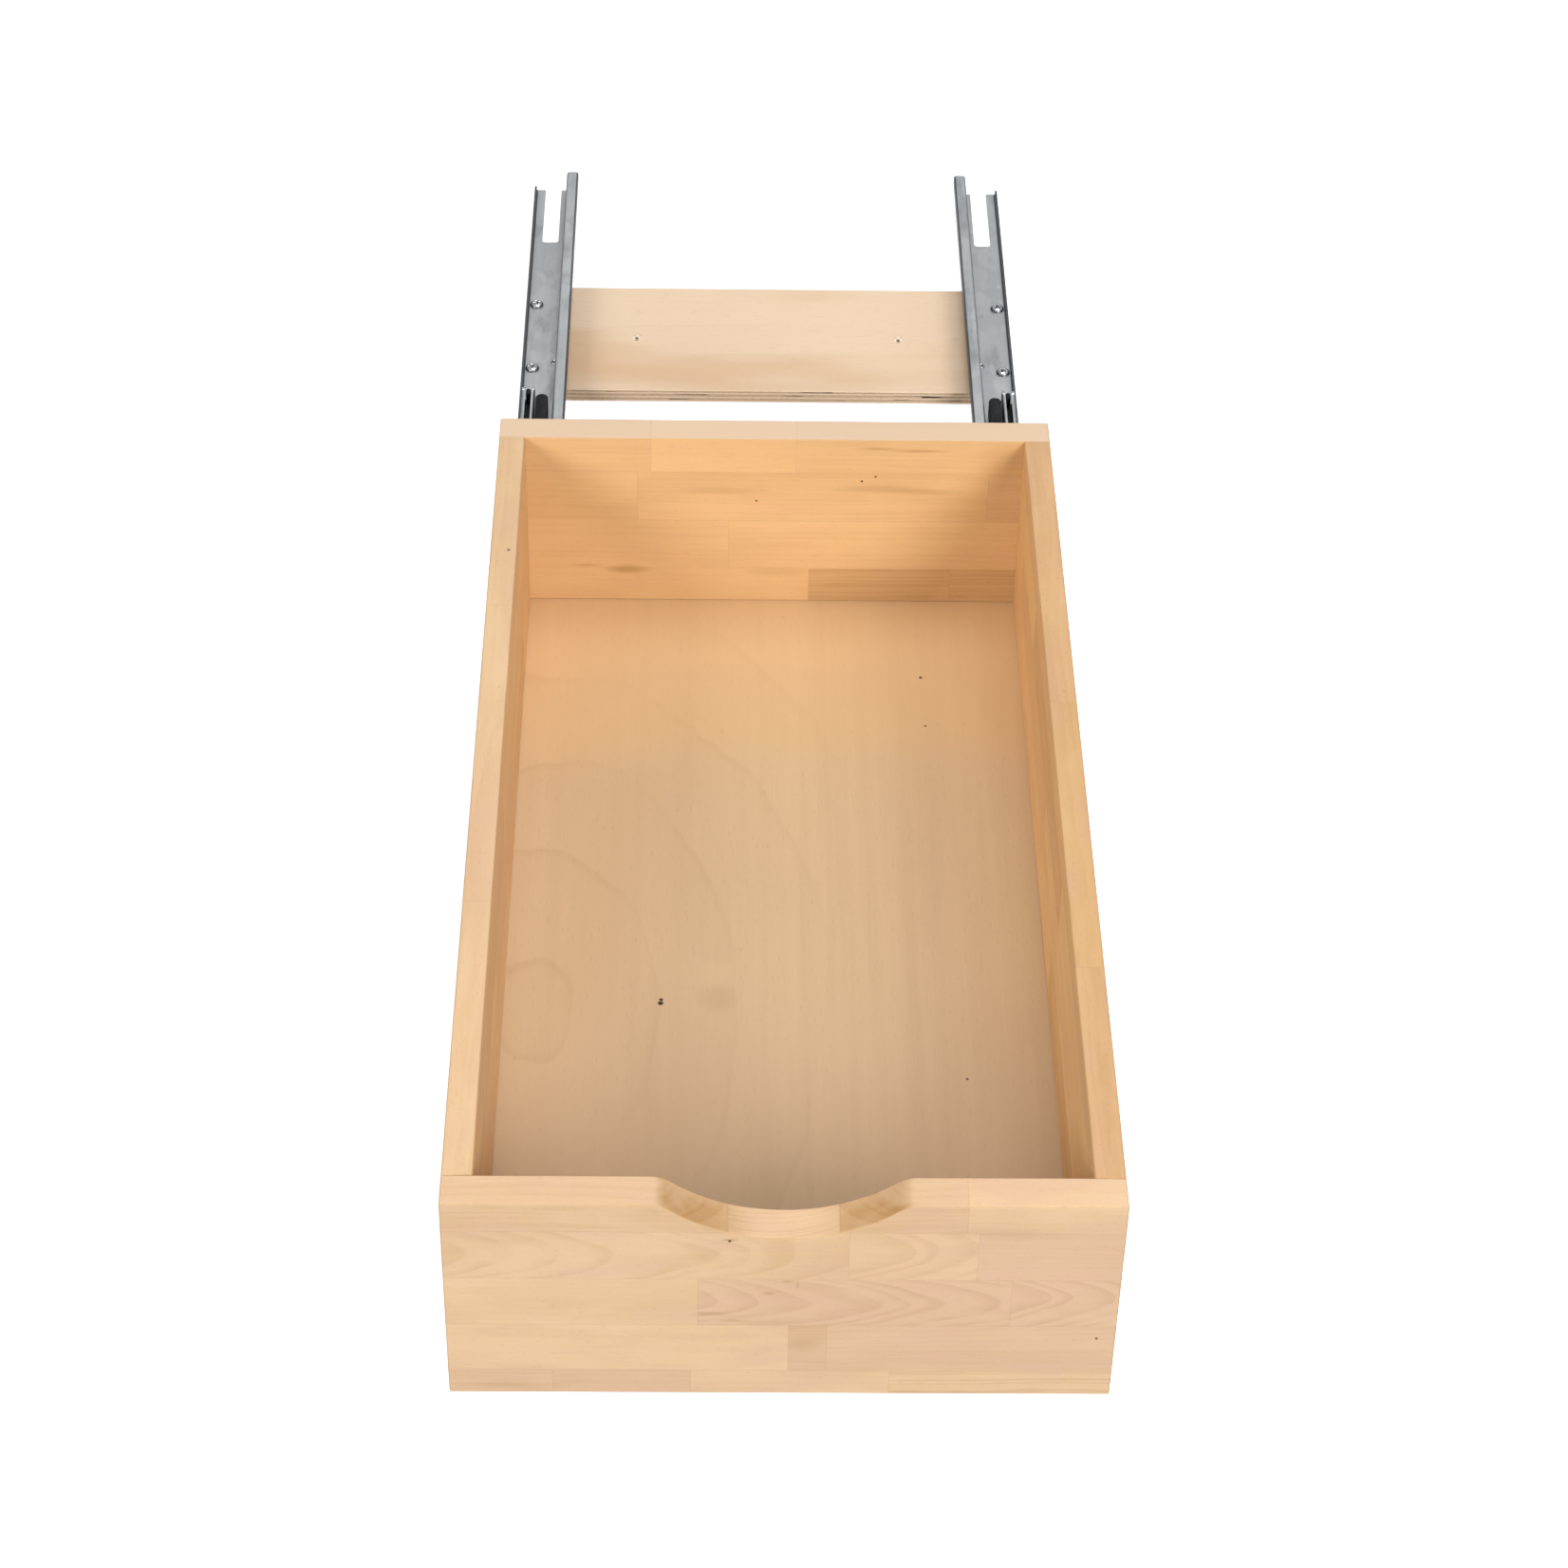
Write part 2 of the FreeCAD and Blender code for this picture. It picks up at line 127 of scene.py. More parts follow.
def smoothStep(value, low, high):
    # 0 below low, 1 above high, and a cubic ease between.
    t = np.clip((value - low) / (high - low), 0, 1)
    return t * t * (3 - 2 * t)


# Node helpers

def newSurface(name):
    material = bpy.data.materials.new(name)
    material.use_nodes = True
    tree = material.node_tree
    return material, tree, tree.nodes["Principled BSDF"]


def fill(tree, node, values):
    # Values are sockets to link or plain numbers, by input name or number.
    for key, value in values.items():
        if isinstance(value, bpy.types.NodeSocket):
            tree.links.new(value, node.inputs[key])
        else:
            node.inputs[key].default_value = value


def put(tree, kind, values, **settings):
    made = tree.nodes.new("ShaderNode" + kind)
    for key, value in settings.items():
        setattr(made, key, value)
    fill(tree, made, values)
    return made


def calc(tree, operation, *values, clamp=False):
    made = put(tree, "Math", dict(enumerate(values)), operation=operation, use_clamp=clamp)
    return made.outputs[0]


def total(tree, *values):
    result = values[0]
    for value in values[1:]:
        result = calc(tree, "ADD", result, value)
    return result


def times(tree, first, second):
    return calc(tree, "MULTIPLY", first, second)


def swing(tree, noise, size):
    # Noise from 0 to 1 becomes a change of this size about 0.
    return calc(tree, "MULTIPLY_ADD", noise, size, -size / 2)


def rescale(tree, value, scale, start):
    return calc(tree, "MULTIPLY_ADD", value, scale, start)


def hypotenuse(tree, first, second):
    return calc(tree, "SQRT", total(tree, times(tree, first, first), times(tree, second, second)))


def clamped(tree, value):
    return calc(tree, "ADD", value, 0.0, clamp=True)


def ease(tree, value, low, high, outLow=0.0, outHigh=1.0):
    # Smooth change from outLow to outHigh while the value goes from low to high.
    made = put(tree, "MapRange", {0: value, 1: low, 2: high, 3: outLow, 4: outHigh},
               interpolation_type="SMOOTHSTEP")
    return made.outputs[0]


def blend(tree, factor, first, second, mode="MIX"):
    made = put(tree, "Mix", {0: factor, 6: first, 7: second}, data_type="RGBA", blend_type=mode)
    return made.outputs[2]


def stain(tree, colour, where, strength, other):
    # Another colour laid over this one where the mask is high.
    return blend(tree, times(tree, where, strength), colour, other)


def split(tree, vector):
    return put(tree, "SeparateXYZ", {0: vector}).outputs


def join(tree, *parts):
    return put(tree, "CombineXYZ", dict(enumerate(parts))).outputs[0]


def stretch(tree, vector, scale, offset=(0.0, 0.0, 0.0)):
    made = put(tree, "Mapping", {"Vector": vector, "Scale": scale, "Location": offset})
    return made.outputs[0]


def grain(tree, vector, detail=2.0, roughness=0.5, distortion=0.0, scale=1.0):
    made = put(tree, "TexNoise", {"Vector": vector, "Scale": scale, "Detail": detail,
                                  "Roughness": roughness, "Distortion": distortion})
    return made.outputs[0]


def objectPlace(tree):
    return put(tree, "TexCoord", {}).outputs["Object"]


def attribute(tree, label):
    return put(tree, "Attribute", {}, attribute_name=label)


def spots(tree, vector, places):
    # Small dark marks: 1 inside each ball, fading to 0 at its edge. A place is x, y, z and radius.
    found = None
    for x, y, z, radius in places:
        gap = put(tree, "VectorMath", {0: vector, 1: (x, y, z)}, operation="DISTANCE").outputs["Value"]
        mark = ease(tree, gap, radius * 0.35, radius, 1.0, 0.0)
        found = mark if found is None else calc(tree, "MAXIMUM", found, mark)
    return found


def finishSurface(tree, shader, colour, roughness, height, bumpStrength, bumpDistance, **constants):
    bump = put(tree, "Bump", {"Strength": bumpStrength, "Distance": bumpDistance, "Height": height})
    fill(tree, shader, {"Base Color": colour, "Roughness": roughness, "Normal": bump.outputs[0]})
    for key, value in constants.items():
        shader.inputs[key].default_value = value


# Wood

solidWood = {
    "pale": (0.790, 0.532, 0.305, 1),
    "brown": (0.455, 0.256, 0.088, 1),
    "cream": (0.850, 0.625, 0.410, 1),
    "mark": (0.400, 0.220, 0.080, 1),
    "sheenColour": (0.800, 0.590, 0.420, 1),    # painted sheen on the upper edges
    "pink": (0.725, 0.462, 0.300, 1),
    "yellow": (0.840, 0.575, 0.270, 1),
    "endGrain": (0.47, 0.245, 0.080, 1),
    "fleck": (0.36, 0.19, 0.09, 1),
    "knot": (0.055, 0.026, 0.012, 1),
    # scale of each noise along and across the grain, and its detail
    "wanderGrain": (7.0, 26.0, 2.0), "streakGrain": (5.0, 170.0, 3.0), "cloudGrain": (9.0, 34.0, 2.0),
    "patchGrain": (24.0, 74.0, 2.0), "fineGrain": (90.0, 2400.0, 2.0), "fleckGrain": (330.0, 2100.0, 1.0),
    # how far each one darkens the wood
    "tone": 0.12, "streakTone": 0.34, "cloudTone": 0.56, "fineTone": 0.16, "ringTone": 0.26,
    "lightTone": -0.30, "warmth": 0.55, "creamPatches": 0.14, "fleckTone": 0.22, "seamTone": 0.20,
    "edgeShadeTone": 0.45, "handledTone": 0.16,
    "wander": 0.010,           # how far the growth rings stray, in metres
    "ringNoise": 210.0, "ringJitter": 1.8,
    "logSpread": 61.0,         # moves each stave to its own part of the noise
    "seamWidth": 0.00022,
    "roughness": 0.50, "specular": 0.35, "bump": 0.30, "bumpDepth": 0.00016,
}


def stavedWood(name, spec, knots, wear=None):
    # Each stave is cut from its own log. Growth rings are shells about a leaning core line, so the
    # distance from that line, divided by the ring width, gives the ring count at any point.
    look = solidWood
    material, tree, shader = newSurface(name)
    position = objectPlace(tree)
    along, across, through = split(tree, attribute(tree, "place").outputs["Vector"])
    coreAcross, coreThrough, ringWidth = split(tree, attribute(tree, "pith").outputs["Vector"])
    leanAcross, leanThrough, strength = split(tree, attribute(tree, "lean").outputs["Vector"])
    light, warm, seed = split(tree, attribute(tree, "tint").outputs["Vector"])
    shift = times(tree, seed, look["logSpread"])

    def inLog(alongScale, crossScale):
        return join(tree, times(tree, along, alongScale), times(tree, across, crossScale),
                    rescale(tree, through, crossScale, shift))

    def fibres(alongScale, crossScale, detail):
        return grain(tree, inLog(alongScale, crossScale), detail, 0.55)

    def gapFrom(value, core, lean, stray):
        straight = calc(tree, "SUBTRACT", calc(tree, "SUBTRACT", value, core), times(tree, lean, along))
        return total(tree, straight, swing(tree, stray, look["wander"]))

    alongScale, crossScale, detail = look["wanderGrain"]
    wander = put(tree, "TexNoise", {"Vector": inLog(alongScale, crossScale), "Scale": 1.0,
                                    "Detail": detail, "Roughness": 0.45})
    strayAcross, strayThrough = split(tree, wander.outputs["Color"])[:2]
    gapAcross = gapFrom(across, coreAcross, leanAcross, strayAcross)
    gapThrough = gapFrom(through, coreThrough, leanThrough, strayThrough)
    distance = hypotenuse(tree, gapAcross, gapThrough)
    uneven = put(tree, "TexNoise", {"W": rescale(tree, distance, look["ringNoise"], shift),
                                    "Scale": 1.0, "Detail": 1.0}, noise_dimensions="1D").outputs[0]
    count = total(tree, calc(tree, "DIVIDE", distance, ringWidth), times(tree, uneven, look["ringJitter"]))
    ring = calc(tree, "FRACT", count)
    late = times(tree, ease(tree, ring, 0.20, 0.88), ease(tree, ring, 0.88, 1.0, 1.0, 0.0))
    late = times(tree, late, strength)        # late wood: a slow rise and a sudden end

    streak = fibres(*look["streakGrain"])
    cloud = fibres(*look["cloudGrain"])
    patch = fibres(*look["patchGrain"])
    fine = fibres(*look["fineGrain"])
    fleck = ease(tree, fibres(*look["fleckGrain"]), 0.66, 0.74)
    late = times(tree, late, ease(tree, patch, 0.30, 0.66, 0.35, 1.35))

    tone = total(tree, look["tone"],
                 swing(tree, streak, look["streakTone"]),
                 swing(tree, cloud, look["cloudTone"]),
                 swing(tree, fine, look["fineTone"]),
                 times(tree, late, look["ringTone"]),
                 times(tree, light, look["lightTone"]))
    colour = blend(tree, clamped(tree, tone), look["pale"], look["brown"])
    rosy = calc(tree, "MAXIMUM", warm, 0.0)
    sunny = calc(tree, "MAXIMUM", times(tree, warm, -1.0), 0.0)
    colour = stain(tree, colour, rosy, look["warmth"], look["pink"])
    colour = stain(tree, colour, sunny, look["warmth"], look["yellow"])
    colour = blend(tree, ease(tree, patch, 0.46, 0.68, 0.0, spec["blotch"]), colour, look["pink"])
    colour = blend(tree, ease(tree, patch, 0.28, 0.48, look["creamPatches"], 0.0), colour, look["cream"])
    colour = stain(tree, colour, fleck, look["fleckTone"], look["fleck"])

    # Long dark marks, frayed by the streaks.
    for centre, halfSize, darkness in spec["marks"]:
        gap = put(tree, "VectorMath", {0: position, 1: centre}, operation="SUBTRACT").outputs["Vector"]
        inverse = tuple(1 / size for size in halfSize)
        gap = put(tree, "VectorMath", {0: gap, 1: inverse}, operation="MULTIPLY").outputs["Vector"]
        reach = put(tree, "VectorMath", {0: gap}, operation="LENGTH").outputs["Value"]
        reach = total(tree, reach, swing(tree, streak, 1.2))
        colour = blend(tree, ease(tree, reach, 0.10, 1.15, darkness, 0.0), colour, look["mark"])

    # Painted shade by facing: inner and outer faces toned, and a painted sheen on the upper edge.
    normal = split(tree, put(tree, "NewGeometry", {}).outputs["Normal"])
    inwards = times(tree, normal[1 - spec["axis"]], -spec["outwards"])
    innerShaded = blend(tree, 1.0, colour, spec["innerPaintedShade"], "MULTIPLY")
    outerShaded = blend(tree, 1.0, colour, spec["outerPaintedShade"], "MULTIPLY")
    colour = blend(tree, ease(tree, inwards, -0.9, -0.4, 1.0, 0.0), colour, outerShaded)
    colour = blend(tree, ease(tree, inwards, 0.4, 0.9), colour, innerShaded)
    topSheened = blend(tree, spec["topPaintedSheen"], colour, look["sheenColour"])
    topSheened = blend(tree, 1.0, topSheened, spec["topPaintedTone"], "MULTIPLY")
    colour = blend(tree, ease(tree, normal[2], 0.5, 0.95), colour, topSheened)

    # End grain, darker where the late wood is.
    cut = ease(tree, calc(tree, "ABSOLUTE", normal[spec["axis"]]), 0.10, 0.48)
    cutTone = total(tree, 0.42, times(tree, late, 0.20), ease(tree, patch, 0.35, 0.65, 0.0, 0.40))
    colour = blend(tree, times(tree, cut, cutTone), colour, look["endGrain"])

    buttGap, glueGap = split(tree, attribute(tree, "seam").outputs["Vector"])[:2]
    width = look["seamWidth"]
    seam = ease(tree, calc(tree, "MINIMUM", buttGap, glueGap), width * 0.3, width, 1.0, 0.0)
    colour = stain(tree, colour, seam, look["seamTone"], look["fleck"])
    # Painted shade on the eased edges, against the bright line their rounding catches; the same edges are a
    # little smoother.
    edgeWearAndShade = attribute(tree, "edgeWearAndShade").outputs["Fac"]
    colour = stain(tree, colour, edgeWearAndShade, look["edgeShadeTone"], look["brown"])
    if wear:
        # Skin oil leaves the wood a little darker round the hand cut-out.
        x, y, z, radius = wear
        near = put(tree, "VectorMath", {0: position, 1: (x, y, z)}, operation="DISTANCE").outputs["Value"]
        handled = times(tree, ease(tree, near, radius * 0.35, radius, 1.0, 0.0), cloud)
        colour = stain(tree, colour, handled, look["handledTone"], look["brown"])
    knot = spots(tree, position, knots)
    colour = blend(tree, knot, colour, look["knot"])

    roughness = total(tree, look["roughness"], times(tree, fine, 0.16), times(tree, late, -0.06),
                      times(tree, cut, 0.10), times(tree, edgeWearAndShade, -0.10))
    height = total(tree, times(tree, fine, 0.55), times(tree, late, 0.30),
                   times(tree, fleck, -0.45), times(tree, seam, -0.60),
                   times(tree, knot, -1.2), times(tree, streak, 0.35))
    finishSurface(tree, shader, colour, roughness, height, look["bump"], look["bumpDepth"],
                  **{"Specular IOR Level": look["specular"]})
    return material


plyGrain = {
    # scale of each noise along and across the grain and up, and its detail
    "wavy": (4.0, 9.0, 40.0, 3.0), "patch": (5.0, 16.0, 40.0, 2.0), "jagged": (24.0, 60.0, 40.0, 2.0),
    "fade": (3.0, 11.0, 90.0, 1.0), "streak": (2.6, 130.0, 40.0, 3.0), "fine": (70.0, 1900.0, 40.0, 2.0),
    "pore": (150.0, 1300.0, 40.0, 1.0), "cloud": (7.0, 12.0, 40.0, 2.0), "drift": (5.0, 21.0, 60.0, 2.0),
    "ringBend": 0.7,           # rings by which the patches bend the count
    "fineTone": 0.12, "poreTone": 0.14, "paleSpotTone": 0.35, "darkSpotTone": 0.22,
    "sawn": 420.0, "hollows": 38.0, "plyScale": 900.0,
    "specular": 0.32, "bump": 0.30, "bumpDepth": 0.00014,
}


def plyWood(name, look):
    # Peeled veneer: growth rings show as wide contour lines round a leaning centre. The edges show
    # the plies, which alternate between long and end grain with a thin dark glue line between.
    material, tree, shader = newSurface(name)
    position = objectPlace(tree)
    x, y, z = split(tree, position)

    def stretched(alongScale, crossScale, upScale):
        level = (alongScale, crossScale) if look["grainAxis"] == 0 else (crossScale, alongScale)
        return stretch(tree, position, (*level, upScale))

    def veneer(kind, roughness):
        alongScale, crossScale, upScale, detail = plyGrain[kind]
        return grain(tree, stretched(alongScale, crossScale, upScale), detail, roughness)

    # Contour lines, which rise slowly and end at once, and fade in places.
    alongScale, crossScale, upScale, detail = plyGrain["wavy"]
    wavy = put(tree, "TexNoise", {"Vector": stretched(alongScale, crossScale, upScale), "Scale": 1.0,
                                  "Detail": detail, "Roughness": 0.55})
    strays = split(tree, wavy.outputs["Color"])

    def gapFrom(value, axis):
        gap = calc(tree, "SUBTRACT", value, look["centre"][axis])
        gap = calc(tree, "DIVIDE", gap, look["spread"][axis])
        return total(tree, gap, swing(tree, strays[axis], look["wave"]))

    distance = hypotenuse(tree, gapFrom(x, 0), gapFrom(y, 1))
    patch = veneer("patch", 0.5)
    count = total(tree, times(tree, distance, look["rings"]), times(tree, patch, plyGrain["ringBend"]),
                  times(tree, veneer("jagged", 0.6), look["jagged"]))
    ring = calc(tree, "FRACT", count)
    ended = ease(tree, ring, 0.955, 1.0, 1.0, 0.0)
    thin = times(tree, ease(tree, ring, 0.86, 0.955), ended)
    line = rescale(tree, ease(tree, ring, 0.30, 0.95, 0.0, 0.35), ended, thin)
    fade = ease(tree, veneer("fade", 0.5), 0.40, 0.64, 0.15, 1.0)
    fade = times(tree, fade, ease(tree, x, look["linesEnd"], look["linesEnd"] + 0.04, 1.0, 0.3))
    line = times(tree, line, fade)

    streak = veneer("streak", 0.6)
    fine = veneer("fine", 0.6)
    pore = ease(tree, veneer("pore", 0.5), 0.66, 0.73)
    cloud = veneer("cloud", 0.5)
    streaky = ease(tree, x, look["streakFrom"] - 0.03, look["streakFrom"] + 0.03, look["streaks"] * 0.5,
                   look["streaks"])
    tone = total(tree, look["depth"],
                 times(tree, calc(tree, "SUBTRACT", streak, 0.5), streaky),
                 swing(tree, cloud, look["clouds"]),
                 swing(tree, fine, plyGrain["fineTone"]),
                 times(tree, line, look["lines"]))
    colour = blend(tree, clamped(tree, tone), look["pale"], look["dark"])
    warm = ease(tree, veneer("drift", 0.5), 0.46, 0.70, 0.0, look["warmth"])
    colour = blend(tree, warm, colour, look["warm"])
    colour = stain(tree, colour, pore, plyGrain["poreTone"], look["pore"])
    # Painted light: warm bounce and shade laid on along Y.
    for start, end, strength, paintedColour in look["paintedLightZones"]:
        if start < end:
            there = ease(tree, y, start, end, 0.0, strength)
        else:
            there = ease(tree, y, end, start, strength, 0.0)
        colour = blend(tree, there, colour, paintedColour)
    if look["paleSpots"]:
        paler = spots(tree, position, look["paleSpots"])
        colour = stain(tree, colour, paler, plyGrain["paleSpotTone"], look["pale"])
    darker = spots(tree, position, look["darkSpots"])
    colour = stain(tree, colour, darker, plyGrain["darkSpotTone"], look["dark"])

    # Edges of the sheet.
    layer = calc(tree, "DIVIDE", calc(tree, "SUBTRACT", z, look["base"]), look["plyThickness"])
    bent = total(tree, layer, swing(tree, patch, 0.22))
    within = calc(tree, "FRACT", bent)
    odd = calc(tree, "FLOOR", calc(tree, "MODULO", bent, 2.0))
    glue = calc(tree, "MAXIMUM", ease(tree, within, 0.02, 0.14, 1.0, 0.0), ease(tree, within, 0.90, 0.98))
    sawn = plyGrain["sawn"]
    sawn = grain(tree, stretch(tree, position, (sawn, sawn, plyGrain["plyScale"])), 2.0, 0.6)
    hollow = plyGrain["hollows"]
    hollow = grain(tree, stretch(tree, position, (hollow, hollow, plyGrain["plyScale"])), 1.0, 0.5)
    hollow = times(tree, ease(tree, hollow, 0.66, 0.71), odd)
    edgeTone = total(tree, times(tree, odd, 0.42), times(tree, glue, 0.45), rescale(tree, sawn, 0.5, -0.16))
    edgeColour = blend(tree, clamped(tree, edgeTone), look["pale"], look["edge"])
    edgeColour = blend(tree, hollow, edgeColour, look["knot"])
    normal = put(tree, "NewGeometry", {}).outputs["Normal"]
    facing = calc(tree, "ABSOLUTE", split(tree, normal)[2])
    onEdge = ease(tree, facing, 0.35, 0.75, 1.0, 0.0)
    colour = blend(tree, onEdge, colour, edgeColour)
    knot = spots(tree, position, look["knots"])
    colour = blend(tree, knot, colour, look["knot"])

    flatHeight = total(tree, times(tree, fine, 0.45), times(tree, pore, -0.6), times(tree, line, 0.15),
                       times(tree, knot, -1.0))
    edgeHeight = total(tree, times(tree, sawn, 1.2), times(tree, hollow, -2.0), times(tree, glue, -0.5))
    height = total(tree, flatHeight, times(tree, onEdge, edgeHeight))
    roughness = total(tree, look["roughness"], times(tree, fine, 0.15), times(tree, onEdge, 0.15))
    finishSurface(tree, shader, colour, roughness, height, plyGrain["bump"], plyGrain["bumpDepth"],
                  **{"Specular IOR Level": plyGrain["specular"]})
    return material


# Staved boards of the drawer box

staveKinds = {
    # core line across and through, ring width, lean across and through, ring strength, light, warm
    "plain": (0.052, 0.026, 0.0031, 0.006, 0.010, 0.35, 0.12, 0.00),
    "quiet": (0.070, 0.040, 0.0042, 0.002, 0.006, 0.20, 0.28, -0.05),
    "arched": (0.002, 0.026, 0.0023, 0.010, 0.105, 1.35, 0.30, 0.00),
    "rosy": (0.003, 0.021, 0.0023, -0.020, 0.130, 2.10, 0.16, 1.00),
    "striped": (0.075, 0.004, 0.0030, 0.003, 0.004, 1.30, 0.30, 0.00),
    "tan": (0.060, 0.030, 0.0030, 0.004, 0.012, 0.50, -0.32, 0.25),
    "grey": (0.058, 0.022, 0.0027, 0.004, 0.014, 0.60, -0.48, 0.65),
    "brown": (0.066, 0.012, 0.0024, 0.002, 0.010, 0.90, -1.05, -0.20),
    "blush": (0.062, 0.030, 0.0034, 0.003, 0.010, 0.40, -0.10, 0.80),
    "cream": (0.004, 0.030, 0.0028, 0.015, 0.120, 0.90, 0.48, 0.20),
    "golden": (0.060, 0.028, 0.0034, 0.004, 0.008, 0.35, 0.42, -0.55),
    "gold": (0.060, 0.028, 0.0034, 0.004, 0.008, 0.45, 0.00, -0.55),
    "amber": (0.062, 0.028, 0.0032, 0.004, 0.010, 0.55, -0.62, -0.45),
    "sunny": (0.062, 0.034, 0.0040, 0.004, 0.006, 0.25, 0.45, -0.75),
}

frontLow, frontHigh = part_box("front_panel")
backLow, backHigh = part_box("back_panel")
frontBase = (frontLow.x + frontHigh.x) / 2, frontLow.y, frontLow.z
backBase = (backLow.x + backHigh.x) / 2, backLow.y, backLow.z


def panelMarks(base, marks):
    # Dark streaks in the wood: along, up, half length, half height and darkness.
    return [((base[0] + along, base[1], base[2] + up), (halfLength, 0.003, halfHeight), darkness)
            for along, up, halfLength, halfHeight, darkness in marks]


frontMarks = panelMarks(frontBase, (
    (-0.0220, 0.0957, 0.0042, 0.0009, 0.65), (-0.0057, 0.0634, 0.0034, 0.0016, 0.45),
    (0.0020, 0.0706, 0.0032, 0.0010, 0.50), (0.0062, 0.0686, 0.0012, 0.0030, 0.40),
    (-0.0300, 0.0505, 0.0090, 0.0013, 0.40), (-0.0210, 0.0462, 0.0095, 0.0014, 0.42),
    (0.0090, 0.0300, 0.0075, 0.0050, 0.20), (-0.1150, 0.0050, 0.0300, 0.0026, 0.25),
    (0.0900, 0.1000, 0.0260, 0.0045, 0.18), (-0.1100, 0.0940, 0.0140, 0.0035, 0.12)))
backMarks = panelMarks(backBase, (
    (-0.0755, 0.0322, 0.0135, 0.0040, 0.55), (-0.0975, 0.0344, 0.0125, 0.0012, 0.40),
    (0.0520, 0.1106, 0.0130, 0.0014, 0.42), (0.0740, 0.1094, 0.0170, 0.0013, 0.42),
    (0.0550, 0.0855, 0.0300, 0.0036, 0.32), (0.0800, 0.0835, 0.0200, 0.0026, 0.30),
    (-0.0280, 0.0832, 0.0260, 0.0030, 0.22), (0.1180, 0.1030, 0.0160, 0.0140, 0.25),
    (0.0030, 0.0310, 0.0180, 0.0036, 0.22)))

frontPanel = {
    "node": "front_panel", "axis": 0, "outwards": -1, "edge": 0.0006, "seed": 11,
    "innerPaintedShade": (0.90, 0.84, 0.72, 1), "outerPaintedShade": (0.95, 0.945, 0.93, 1),
    "topPaintedTone": (0.99, 0.96, 0.92, 1), "topPaintedSheen": 0.10, "blotch": 0.50, "marks": frontMarks,
    "glueLines": (0.0150, 0.0434, 0.0718, 0.1002),
    "joints": ((-0.096, -0.038, 0.046), (0.003, 0.019), (-0.035, 0.095), (-0.145, 0.027, 0.080), (0.075,)),
    "kinds": (("grey", "grey", "quiet", "striped"), ("quiet", "grey", "blush"), ("quiet", "rosy", "rosy"),
              ("arched", "cream", "cream", "blush"), ("tan", "quiet")),
    "scoop": {"halfWidth": 0.055, "depth": 0.0195, "entry": 0.014},
}

backPanel = {
    "node": "back_panel", "axis": 0, "outwards": 1, "edge": 0.0007, "seed": 23,
    "innerPaintedShade": (0.96, 0.90, 0.77, 1), "outerPaintedShade": (1.0, 1.0, 1.0, 1),
    "topPaintedTone": (1.0, 0.98, 0.94, 1), "topPaintedSheen": 0.75, "blotch": 0.20, "marks": backMarks,
    "glueLines": (0.0025, 0.0332, 0.0642, 0.0950),
    "joints": ((0.040,), (0.019, 0.093), (-0.023,), (-0.070, 0.110), (-0.063, 0.011)),
    "kinds": (("gold", "tan"), ("golden", "brown", "brown"), ("golden", "gold"), ("gold", "gold", "tan"),
              ("gold", "sunny", "gold")),
    "scoop": None,
}

leftPanel = {
    "node": "left_side_panel", "axis": 1, "outwards": -1, "edge": 0.0007, "seed": 37,
    "innerPaintedShade": (0.92, 0.85, 0.70, 1), "outerPaintedShade": (1.0, 1.0, 1.0, 1),
    "topPaintedTone": (1.0, 0.97, 0.90, 1), "topPaintedSheen": 0.05, "blotch": 0.55, "marks": (),
    "glueLines": (0.0150, 0.0434, 0.0718, 0.1002),
    "joints": ((-0.36, -0.12, 0.02), (-0.41, -0.20, -0.03), (-0.30, -0.15), (-0.37, -0.22, -0.06),
               (-0.31, -0.10)),
    "kinds": (("tan", "plain", "quiet", "rosy"), ("plain", "arched", "tan", "gold"),
              ("quiet", "rosy", "gold"), ("arched", "tan", "quiet", "gold"), ("plain", "plain", "plain")),
    "scoop": None,
}

rightPanel = {
    "node": "right_side_panel", "axis": 1, "outwards": 1, "edge": 0.0007, "seed": 41,
    "innerPaintedShade": (0.98, 0.91, 0.72, 1), "outerPaintedShade": (1.0, 1.0, 1.0, 1),
    "topPaintedTone": (0.93, 0.83, 0.68, 1), "topPaintedSheen": 0.0, "blotch": 0.55, "marks": (),
    "glueLines": (0.0150, 0.0434, 0.0718, 0.1002),
    "joints": ((-0.33, -0.16, -0.04), (-0.26, -0.11), (-0.39, -0.19, 0.0), (-0.28, -0.08), (-0.35, -0.17)),
    "kinds": (("striped", "tan", "gold", "gold"), ("brown", "gold", "striped"),
              ("gold", "striped", "tan", "gold"), ("gold", "brown", "gold"), ("tan", "amber", "tan")),
    "scoop": None,
}

boardShape = {
    "cornerSteps": 5,         # points round each eased edge
    "columnStep": 0.0065,
    "scoopStep": 0.0014,
    "levelStep": 0.0065,
    "hiddenEdge": 0.0003,     # edges that meet another board
    "groovePlay": 0.0004,     # the gap that shows above the bottom panel
    "stopPlay": 0.0002,       # how far the stopped groove runs past the bottom panel
    "support": 0.0006,        # a line of points this far inside each eased edge keeps the face flat
    "capSupport": 0.0005,
    "margin": 0.004,          # no ordinary line of points comes nearer to the end of a board
    "closest": 0.00003,       # columns nearer than this are one
    "endRound": 0.0006,
    "mostEase": 1.15,         # the unevenness stops at this share of the edge
}


